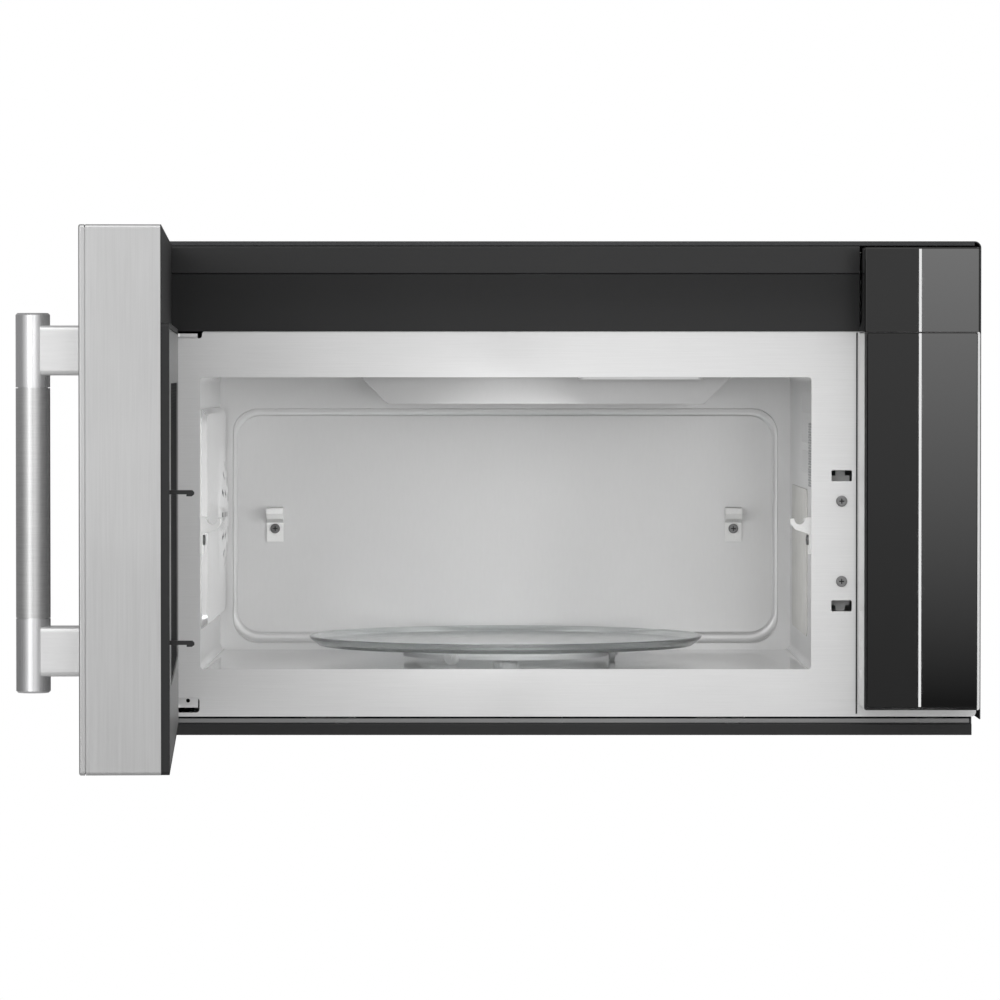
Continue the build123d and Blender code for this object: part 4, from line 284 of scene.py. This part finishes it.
# %% Give every piece its finish
finishes = {
    satin: ["face_frame"],
    edge_with_painted_shade: ["bottom_strip"],
    door_steel: ["door_frame"],
    brushed: ["door_face"],
    post_steel: ["handle_posts", "hinge_brackets"],
    bar_steel: ["handle_bar"],
    bezel_with_painted_highlight: ["column_bezel"],
    grip_steel: ["handle_grip"],
    lining: ["cavity_liner", "oven_lamp_cover"],
    hump_with_painted_shade: ["ceiling_hump"],
    bright: ["fan_cover"],
    nickel: ["handle_screws", "fan_heater"],
    screw_steel_with_painted_shade: ["pan_screws"],
    zinc: ["wall_plate", "back_panel", "fan_housing", "blower_housing", "convection_motor",
           "blower_motor", "turntable_motor"],
    aluminium: ["grease_filter_left", "grease_filter_right", "convection_fan", "blower_wheels",
                "magnetron", "capacitor"],
    satin_black: ["top_strip", "vent_band"],
    panel_glass: ["control_glass", "column_fairing"],
    matt_black: ["bottom_lip", "latch_board", "door_trim", "cord_gland", "hinge_blocks",
                 "interlock_switches"],
    latch_black: ["latch_hooks", "latch_guides"],
    enamel: ["inner_panel"],
    paint: ["cabinet_cover", "base_pan"],
    pale: ["rack_supports", "column_housing"],
    grey_plastic: ["drive_coupler", "roller_ring", "roller_1", "roller_2", "roller_3"],
    mica: ["waveguide_cover"],
    core: ["transformer"],
    board: ["control_board"],
    clear: ["glass_tray", "oven_lamp", "cooktop_lamps", "cooktop_lamp_lenses"],
    window: ["door_window"],
    inner_window: ["inner_window"],
}
for material, names in finishes.items():
    for name in names:
        slots = nodes[name].data.materials
        if not slots:
            slots.append(material)
        for index in range(len(slots)):
            slots[index] = material
left_out = set(nodes) - {name for names in finishes.values() for name in names}
print("without a finish:", sorted(left_out))

# %% [markdown]
# Some features repeat: the holes of the perforated sheets, the diamonds of the expanded
# aluminium in the grease filters, and the crossed recesses of the screws. Each kind is a
# Geometry Nodes tree. Its sizes are named inputs, so one tree serves several places.

# %% Give a tree its named inputs
def new_tree(name, inputs):
    tree = bpy.data.node_groups.new(name, "GeometryNodeTree")
    kinds = {"int": "NodeSocketInt", "float": "NodeSocketFloat", "vector": "NodeSocketVector",
             "material": "NodeSocketMaterial", "shape": "NodeSocketGeometry"}
    for title, kind in inputs:
        tree.interface.new_socket(title, in_out="INPUT", socket_type=kinds[kind])
    tree.interface.new_socket("Geometry", in_out="OUTPUT", socket_type=kinds["shape"])
    return tree, add(tree, "NodeGroupInput").outputs


def end_tree(tree, instances, material):
    """Every tree ends by making its instances real and giving them their material."""
    real = add(tree, "GeometryNodeRealizeInstances", {0: instances})
    painted = add(tree, "GeometryNodeSetMaterial", {"Geometry": real.outputs[0],
                                                    "Material": material})
    add(tree, "NodeGroupOutput", {0: painted.outputs[0]})


def maths(tree, operation, a, b):
    return add(tree, "ShaderNodeMath", {0: a, 1: b}, operation=operation).outputs[0]


print("helpers for geometry trees")

# %% [markdown]
# The first tree lays a grid of points, slides every other row along, and puts a flat
# prism on each point. With many sides the prism is a round hole, and with four a diamond.

# %% Tree: rows of small holes
hole_tree, given = new_tree("Rows of small holes", [
    ("Columns", "int"), ("Rows", "int"), ("Pitch across", "float"), ("Pitch along", "float"),
    ("Slide", "float"), ("Radius", "float"), ("Depth", "float"), ("Sides", "int"),
    ("Material", "material")])
across = maths(hole_tree, "MULTIPLY", maths(hole_tree, "SUBTRACT", given["Columns"], 1.0),
               given["Pitch across"])
along = maths(hole_tree, "MULTIPLY", maths(hole_tree, "SUBTRACT", given["Rows"], 1.0),
              given["Pitch along"])
grid = add(hole_tree, "GeometryNodeMeshGrid", {"Size X": across, "Size Y": along,
                                               "Vertices X": given["Columns"],
                                               "Vertices Y": given["Rows"]})
row = maths(hole_tree, "MODULO", add(hole_tree, "GeometryNodeInputIndex").outputs[0],
            given["Rows"])
odd = maths(hole_tree, "MODULO", row, 2.0)
slide = maths(hole_tree, "MULTIPLY", odd, given["Slide"])
offset = add(hole_tree, "ShaderNodeCombineXYZ", {0: slide})
moved = add(hole_tree, "GeometryNodeSetPosition", {"Geometry": grid.outputs[0],
                                                   "Offset": offset.outputs[0]})
prism = add(hole_tree, "GeometryNodeMeshCylinder", {"Vertices": given["Sides"],
                                                    "Radius": given["Radius"],
                                                    "Depth": given["Depth"]})
placed = add(hole_tree, "GeometryNodeInstanceOnPoints", {"Points": moved.outputs[0],
                                                         "Instance": prism.outputs[0]})
end_tree(hole_tree, placed.outputs[0], given["Material"])
print(hole_tree.name, len(hole_tree.nodes), "nodes")

# %% [markdown]
# The second tree puts two crossed bars on each point it is given: the recess of a
# cross-head screw.

# %% Tree: crossed recesses
cross_tree, given = new_tree("Crossed recesses", [
    ("Points", "shape"), ("Length", "float"), ("Width", "float"), ("Depth", "float"),
    ("Turn", "vector"), ("Material", "material")])
first = add(cross_tree, "ShaderNodeCombineXYZ", {0: given["Length"], 1: given["Width"],
                                                 2: given["Depth"]})
second = add(cross_tree, "ShaderNodeCombineXYZ", {0: given["Width"], 1: given["Length"],
                                                  2: given["Depth"]})
bars = [add(cross_tree, "GeometryNodeMeshCube", {"Size": size.outputs[0]}).outputs[0]
        for size in (first, second)]
joined = add(cross_tree, "GeometryNodeJoinGeometry")
for bar in bars:
    cross_tree.links.new(bar, joined.inputs[0])
placed = add(cross_tree, "GeometryNodeInstanceOnPoints", {"Points": given["Points"],
                                                          "Instance": joined.outputs[0],
                                                          "Rotation": given["Turn"]})
end_tree(cross_tree, placed.outputs[0], given["Material"])
print(cross_tree.name, len(cross_tree.nodes), "nodes")

# %% [markdown]
# A tree's result becomes a plain mesh that rides on one body. The inputs are set by
# their identifiers before the object is first evaluated, and the modifier is taken away
# once the mesh is made.

# %% From a tree to a plain piece
def grow(name, tree, sizes, material, body, place=Matrix(), points=()):
    base = bpy.data.meshes.new(name)
    base.from_pydata(points, [], [])
    piece = bpy.data.objects.new(name, base)
    bpy.context.collection.objects.link(piece)
    modifier = piece.modifiers.new("Repeat", "NODES")
    modifier.node_group = tree
    known = {item.name: item.identifier for item in tree.interface.items_tree
             if item.item_type == "SOCKET" and item.in_out == "INPUT"}
    for title, value in {**sizes, "Material": material}.items():
        modifier[known[title]] = value
    bpy.context.view_layer.update()
    ready = piece.evaluated_get(bpy.context.evaluated_depsgraph_get())
    shape = bpy.data.meshes.new_from_object(ready)
    piece.modifiers.clear()
    shape.transform(place)
    shape.name = name
    piece.data = shape
    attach(piece, body)
    print(name, len(shape.polygons), "faces")
    return piece


QUARTER_TURN = math.radians(90)


def level_at(x, y, z):
    """Where a pattern goes that lies level."""
    return Matrix.Translation((x, y, z))


def upright_at(x, y, z):
    """Where a pattern goes that stands on a side wall."""
    return Matrix.Translation((x, y, z)) @ Matrix.Rotation(QUARTER_TURN, 4, "Y")


# Holes, filter openings and screw recesses are flat dark prisms: painted shade where their insides
# fall in shadow.
painted_hole_shade = finish("Painted shade of a small hole", "#242424", "#1a1a1a", (0.6, 0.8), 0.0, 200)
print(painted_hole_shade.name)

# %% [markdown]
# The lamp's cover and the air inlet in the right wall are perforated. Under the oven, each
# filter holds a sheet of expanded aluminium, and slides out with its filter. The dark of the
# lamp cover's holes and of the mesh's openings is painted shade.

# %% Perforated sheets and filter mesh
SINK = 0.0002           # the depth of every hole
MESH_ABOVE_RIM = 0.0035
CENTRING = 0.0012       # a quarter of a pitch, since every other row is slid along
INLET_Y, INLET_Z = -0.345, 0.03


def hole_rows(columns, rows, across, along, radius, sides=12):
    """Sizes of a staggered pattern of holes; every other row is half a pitch along."""
    return {"Columns": columns, "Rows": rows, "Pitch across": across, "Pitch along": along,
            "Slide": across / 2, "Radius": radius, "Depth": SINK, "Sides": sides}


low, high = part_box("oven_lamp_cover")
middle = (low + high) / 2
grow("lamp_cover_perforations", hole_tree, hole_rows(19, 6, 0.005, 0.0046, 0.0012),
     painted_hole_shade, "cabinet", level_at(middle.x - CENTRING, middle.y, low.z))
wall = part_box("waveguide_cover")[1].x
grow("air_inlet_perforations", hole_tree, hole_rows(12, 12, 0.0048, 0.0042, 0.0009),
     zinc, "cabinet", upright_at(wall, INLET_Y, INLET_Z))
for side in ("left", "right"):
    low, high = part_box("grease_filter_" + side)
    middle = (low + high) / 2
    grow("filter_mesh_" + side, hole_tree, hole_rows(57, 26, 0.0048, 0.0042, 0.0018, sides=4),
         painted_hole_shade, "filter_" + side,
         level_at(middle.x - CENTRING, middle.y, low.z + MESH_ABOVE_RIM))

# %% [markdown]
# The crossed recesses sit on the heads of the pan screws: two in the front frame, two
# that hold the clips on the back wall, and two on the side walls. Their dark is painted
# shade.

# %% Screw recesses
LATCH_X = 0.256         # the latch slots and the frame's screws are in line
FRAME_SCREW_Y = -0.4019
BACK_SCREW_Y = -0.0243
SIDE_SCREW_Y = -0.376
CLIP_SCREW_Z = -0.0465
recess = {"Length": 0.0046, "Width": 0.0009, "Depth": 0.0003}
to_the_front = {**recess, "Turn": (QUARTER_TURN, 0, 0)}
to_the_side = {**recess, "Turn": (0, QUARTER_TURN, 0)}
grow("front_screw_recesses", cross_tree, to_the_front, painted_hole_shade, "cabinet",
     points=[(LATCH_X, FRAME_SCREW_Y, z) for z in (-0.0825, -0.0113)])
grow("back_clip_screw_recesses", cross_tree, to_the_front, painted_hole_shade, "cabinet",
     points=[(x, BACK_SCREW_Y, CLIP_SCREW_Z) for x in (-0.2623, 0.1764)])
grow("side_clip_screw_recesses", cross_tree, to_the_side, painted_hole_shade, "cabinet",
     points=[(x, SIDE_SCREW_Y, CLIP_SCREW_Z) for x in (-0.3096, 0.2258)])

# %% [markdown]
# Behind each latch slot of the front frame shows a pale block, which guides the hook. It
# is narrower on its outer side, so two dark corners are left.

# %% Blocks behind the latch slots
def plain_piece(name, points, faces, material):
    """A piece of the cabinet that is given by its points and faces."""
    mesh = bpy.data.meshes.new(name)
    mesh.from_pydata(points, [], faces)
    mesh.materials.append(material)
    piece = bpy.data.objects.new(name, mesh)
    bpy.context.collection.objects.link(piece)
    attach(piece, "cabinet")
    return piece


GUIDE_FRONT, GUIDE_BACK = -0.379, -0.372
GUIDE_HALF = 0.0082
STEP_HALF = GUIDE_HALF / 2


def hook_guide(name, foot, step, top):
    """A block that is wide from foot to step and narrow from step to top."""
    outline = [(-GUIDE_HALF, foot), (GUIDE_HALF, foot), (GUIDE_HALF, step), (STEP_HALF, step),
               (STEP_HALF, top), (-STEP_HALF, top), (-STEP_HALF, step), (-GUIDE_HALF, step)]
    count = len(outline)
    points = [(LATCH_X + x, y, z) for y in (GUIDE_FRONT, GUIDE_BACK) for x, z in outline]
    faces = [tuple(range(count)), tuple(range(2 * count - 1, count - 1, -1))]
    faces += [(i, i + count, (i + 1) % count + count, (i + 1) % count) for i in range(count)]
    return plain_piece(name, points, faces, pale)


hook_guide("upper_hook_guide", 0.0055, 0.0110, 0.0160)
hook_guide("lower_hook_guide", -0.0990, -0.1045, -0.1095)
print("two hook guides")

# %% [markdown]
# A broad, low ridge is pressed into the back wall, all the way round it. Its profile is a
# shallow arch, and it follows a rectangle with round corners.

# %% Pressed ridge of the back wall
def rounded_path(low, high, radius, steps=10):
    """Points round a rectangle with round corners, anticlockwise from its lower right."""
    path = []
    corners = [(high[0], low[1], -90), (high[0], high[1], 0), (low[0], high[1], 90),
               (low[0], low[1], 180)]
    for x, z, start in corners:
        cx = x - math.copysign(radius, x - (low[0] + high[0]) / 2)
        cz = z - math.copysign(radius, z - (low[1] + high[1]) / 2)
        for step in range(steps + 1):
            angle = math.radians(start + 90 * step / steps)
            path.append((cx + radius * math.cos(angle), cz + radius * math.sin(angle)))
    return path


RIDGE_LOW, RIDGE_HIGH = (-0.3108, -0.158), (0.2258, 0.0735)
RIDGE_WIDTH, RIDGE_RISE, RIDGE_RADIUS = 0.013, 0.0026, 0.034
RIDGE_FULLNESS = 0.8    # under 1 the arch has a flatter top and steeper sides
RIDGE_RINGS = 9
WALL_Y = -0.0186
points = []
for ring in range(RIDGE_RINGS):
    share = ring / (RIDGE_RINGS - 1)
    inset = share * RIDGE_WIDTH
    rise = RIDGE_RISE * math.sin(math.pi * share) ** RIDGE_FULLNESS
    around = rounded_path((RIDGE_LOW[0] + inset, RIDGE_LOW[1] + inset),
                          (RIDGE_HIGH[0] - inset, RIDGE_HIGH[1] - inset),
                          RIDGE_RADIUS - inset)
    points += [(x, WALL_Y - rise, z) for x, z in around]
count = len(points) // RIDGE_RINGS
faces = [(r * count + i, r * count + (i + 1) % count, (r + 1) * count + (i + 1) % count,
          (r + 1) * count + i) for r in range(RIDGE_RINGS - 1) for i in range(count)]
ridge = plain_piece("back_wall_ridge", points, faces, lining)
for face in ridge.data.polygons:
    face.use_smooth = True
print("ridge with", len(faces), "faces")

# %% [markdown]
# A thin black strip beside the control column is painted shadow: the dark of the gap
# between the front frame and the column.

# %% Painted shadow beside the column
SHADOW_STRIP_LOW, SHADOW_STRIP_HIGH = (0.2686, -0.4008, -0.2), (0.2699, -0.4001, 0.138)
corners = [(x, y, z) for x in (SHADOW_STRIP_LOW[0], SHADOW_STRIP_HIGH[0]) for y in (SHADOW_STRIP_LOW[1], SHADOW_STRIP_HIGH[1])
           for z in (SHADOW_STRIP_LOW[2], SHADOW_STRIP_HIGH[2])]
plain_piece("column_shadow_strip", corners, [(0, 1, 3, 2), (4, 6, 7, 5), (0, 4, 5, 1), (2, 3, 7, 6),
                                     (0, 2, 6, 4), (1, 5, 7, 3)], matt_black)
print("shadow strip", round((SHADOW_STRIP_HIGH[2] - SHADOW_STRIP_LOW[2]) * 1000), "mm long")

# %% [markdown]
# The picture was taken from straight in front with a long lens, a little above the
# middle of the oven. The distance and the tilt come from how the open door and the oven
# floor recede.

# %% The camera
FOCAL_LENGTH, SENSOR_WIDTH = 191.8, 36.0
CAMERA_PLACE = (-0.047, -5.123, 0.101)
TILT = math.radians(88.65)      # 90 degrees would look level
lens = bpy.data.cameras.new("Photo camera")
lens.lens = FOCAL_LENGTH
lens.sensor_width = SENSOR_WIDTH
camera = bpy.data.objects.new("Photo camera", lens)
camera.location = CAMERA_PLACE
camera.rotation_euler = (TILT, 0, 0)
bpy.context.collection.objects.link(camera)
bpy.context.scene.camera = camera
print("camera", tuple(round(c, 3) for c in camera.location))

# %% [markdown]
# Steel and gloss black show what stands round them, so the room itself is the main light:
# bright above the horizon and dim below it, and dimmer to the sides and behind. It is
# pure white only to the camera. To the surfaces it is a soft grey gradient, so the ground
# stays clean and the steel keeps its contrast.

# %% A room that is bright above and dim below
ROOM_LOW, ROOM_HIGH = 0.38, 1.0
SIDE_SHARE = 0.35
HORIZON = (-0.10, 0.03)     # the rise of a ray over which dim turns into bright
FRONT = (-0.85, -0.3)       # the Y of a ray over which the front turns into the sides
world = bpy.data.worlds.new("White studio")
world.use_nodes = True
tree = world.node_tree
tree.nodes.clear()
ray = add(tree, "ShaderNodeTexCoord").outputs["Generated"]
height = add(tree, "ShaderNodeSeparateXYZ", {0: ray}).outputs[2]
glow = add(tree, "ShaderNodeMapRange", {0: height, 1: HORIZON[0], 2: HORIZON[1],
                                        3: ROOM_LOW, 4: ROOM_HIGH},
           interpolation_type="SMOOTHSTEP")
depth = add(tree, "ShaderNodeSeparateXYZ", {0: ray}).outputs[1]
sides = add(tree, "ShaderNodeMapRange", {0: depth, 1: FRONT[0], 2: FRONT[1], 3: 1.0,
                                         4: SIDE_SHARE},
            interpolation_type="SMOOTHSTEP")
power = add(tree, "ShaderNodeMath", {0: glow.outputs[0], 1: sides.outputs[0]},
            operation="MULTIPLY")
room = add(tree, "ShaderNodeBackground", {0: linear("#ffffff"), 1: power.outputs[0]})
white = add(tree, "ShaderNodeBackground", {0: linear("#ffffff"), 1: 1.0})
seen = add(tree, "ShaderNodeLightPath").outputs["Is Camera Ray"]
both = add(tree, "ShaderNodeMixShader", {0: seen, 1: room.outputs[0], 2: white.outputs[0]})
add(tree, "ShaderNodeOutputWorld", {0: both.outputs[0]})
bpy.context.scene.world = world
print("room from", ROOM_LOW, "to", ROOM_HIGH)

# %% [markdown]
# Two large soft panels shape the forms: one high in front, and one far to the left that
# draws the long highlight down the handle. Four fills, which mirrors don't show, lift the
# satin frame, the inside of the oven and each of its side walls.

# %% Soft studio lights
def soft_light(name, place, size, watts, target=(0, -0.4, 0), glossy=True, spread=180):
    data = bpy.data.lights.new(name, "AREA")
    data.shape = "RECTANGLE"
    data.size, data.size_y = size
    data.energy = watts
    data.spread = math.radians(spread)
    lamp = bpy.data.objects.new(name, data)
    lamp.location = place
    turn = (Vector(target) - Vector(place)).to_track_quat("-Z", "Y")
    lamp.rotation_euler = turn.to_euler()
    lamp.visible_camera = False
    lamp.visible_glossy = glossy
    bpy.context.collection.objects.link(lamp)
    return lamp


lights = [
    soft_light("High front panel", (0.2, -2.2, 2.0), (2.6, 1.2), 14),
    soft_light("Far left panel", (-1.3, -3.6, 0.4), (0.9, 2.2), 9, (-0.43, -1.0, 0)),
    soft_light("Front fill", (0.5, -3.4, 0.3), (2.4, 1.4), 0.9, glossy=False),
    soft_light("Oven fill", (0.05, -1.25, 0.06), (0.4, 0.2), 0.12, (-0.04, -0.2, -0.03),
               False, 50),
    soft_light("Left wall fill", (0.02, -0.38, -0.03), (0.2, 0.2), 0.50, (-0.31, -0.2, -0.03),
               False, 120),
    soft_light("Right wall fill", (-0.1, -0.38, -0.03), (0.2, 0.2), 0.28, (0.23, -0.2, -0.03),
               False, 120),
]
print(len(lights), "soft lights")

# %% [markdown]
# Far behind the camera stands a tall pale board, lit from above. Its edge and the thin
# bright slit beside it are what the gloss black column mirrors in its right half. Both
# are studio furniture, so the camera never sees them directly.

# %% The board that the black glass mirrors
def board_material(name, low, high, bottom, top):
    material = bpy.data.materials.new(name)
    material.use_nodes = True
    tree = material.node_tree
    tree.nodes.remove(tree.nodes["Principled BSDF"])
    place = add(tree, "ShaderNodeTexCoord").outputs["Object"]
    height = add(tree, "ShaderNodeSeparateXYZ", {0: place}).outputs[2]
    level = add(tree, "ShaderNodeMapRange", {0: height, 1: low, 2: high, 3: bottom, 4: top})
    light = add(tree, "ShaderNodeEmission", {0: linear("#ffffff"), 1: level.outputs[0]})
    tree.links.new(light.outputs[0], tree.nodes["Material Output"].inputs[0])
    return material


def board_plane(name, x0, x1, z0, z1, y, material):
    mesh = bpy.data.meshes.new(name)
    mesh.from_pydata([(x0, y, z0), (x1, y, z0), (x1, y, z1), (x0, y, z1)], [], [(0, 1, 2, 3)])
    mesh.materials.append(material)
    plane = bpy.data.objects.new(name, mesh)
    bpy.context.collection.objects.link(plane)
    plane.visible_camera = False
    return plane


BOARD_EDGE = 0.912
BOARD_WIDTH = 1.2
BOARD_Y, SLIT_Y = -8.0, -7.98
SLIT_HALF = 0.003
SLIT_GLOW = 20.0
board_plane("Reflected board", BOARD_EDGE, BOARD_EDGE + BOARD_WIDTH, -0.9, 0.6, BOARD_Y,
            board_material("Board lit from above", -0.65, 0.45, 0.2, 4.2))
board_plane("Bright slit", BOARD_EDGE - SLIT_HALF, BOARD_EDGE + SLIT_HALF, -0.72, 0.45, SLIT_Y,
            board_material("Slit light", -1, 1, SLIT_GLOW, SLIT_GLOW))
print("board edge at", BOARD_EDGE, "m")

# %% [markdown]
# The floor is plain and pale, well below the oven, which hangs on a wall in use. Like
# the room it is pure white to the camera.

# %% Pale floor
FLOOR_SIZE, FLOOR_Z = 4, -0.60
bpy.ops.mesh.primitive_plane_add(size=FLOOR_SIZE, location=(0, -0.5, FLOOR_Z))
floor = bpy.context.object
floor.name = "Studio floor"
floor_paint = finish("Matt studio floor", "#e6e6e6", "#e0e0e0", (0.8, 0.9), 0.0, 40, bump=0.0)
tree = floor_paint.node_tree
glow = add(tree, "ShaderNodeEmission", {0: linear("#ffffff"), 1: 1.0})
seen = add(tree, "ShaderNodeLightPath").outputs["Is Camera Ray"]
shown = add(tree, "ShaderNodeMixShader", {0: seen, 1: tree.nodes["Principled BSDF"].outputs[0],
                                          2: glow.outputs[0]})
tree.links.new(shown.outputs[0], tree.nodes["Material Output"].inputs[0])
floor.data.materials.append(floor_paint)
bpy.context.scene.view_settings.view_transform = "Standard"
print("floor", round(floor.location.z, 3), "m")
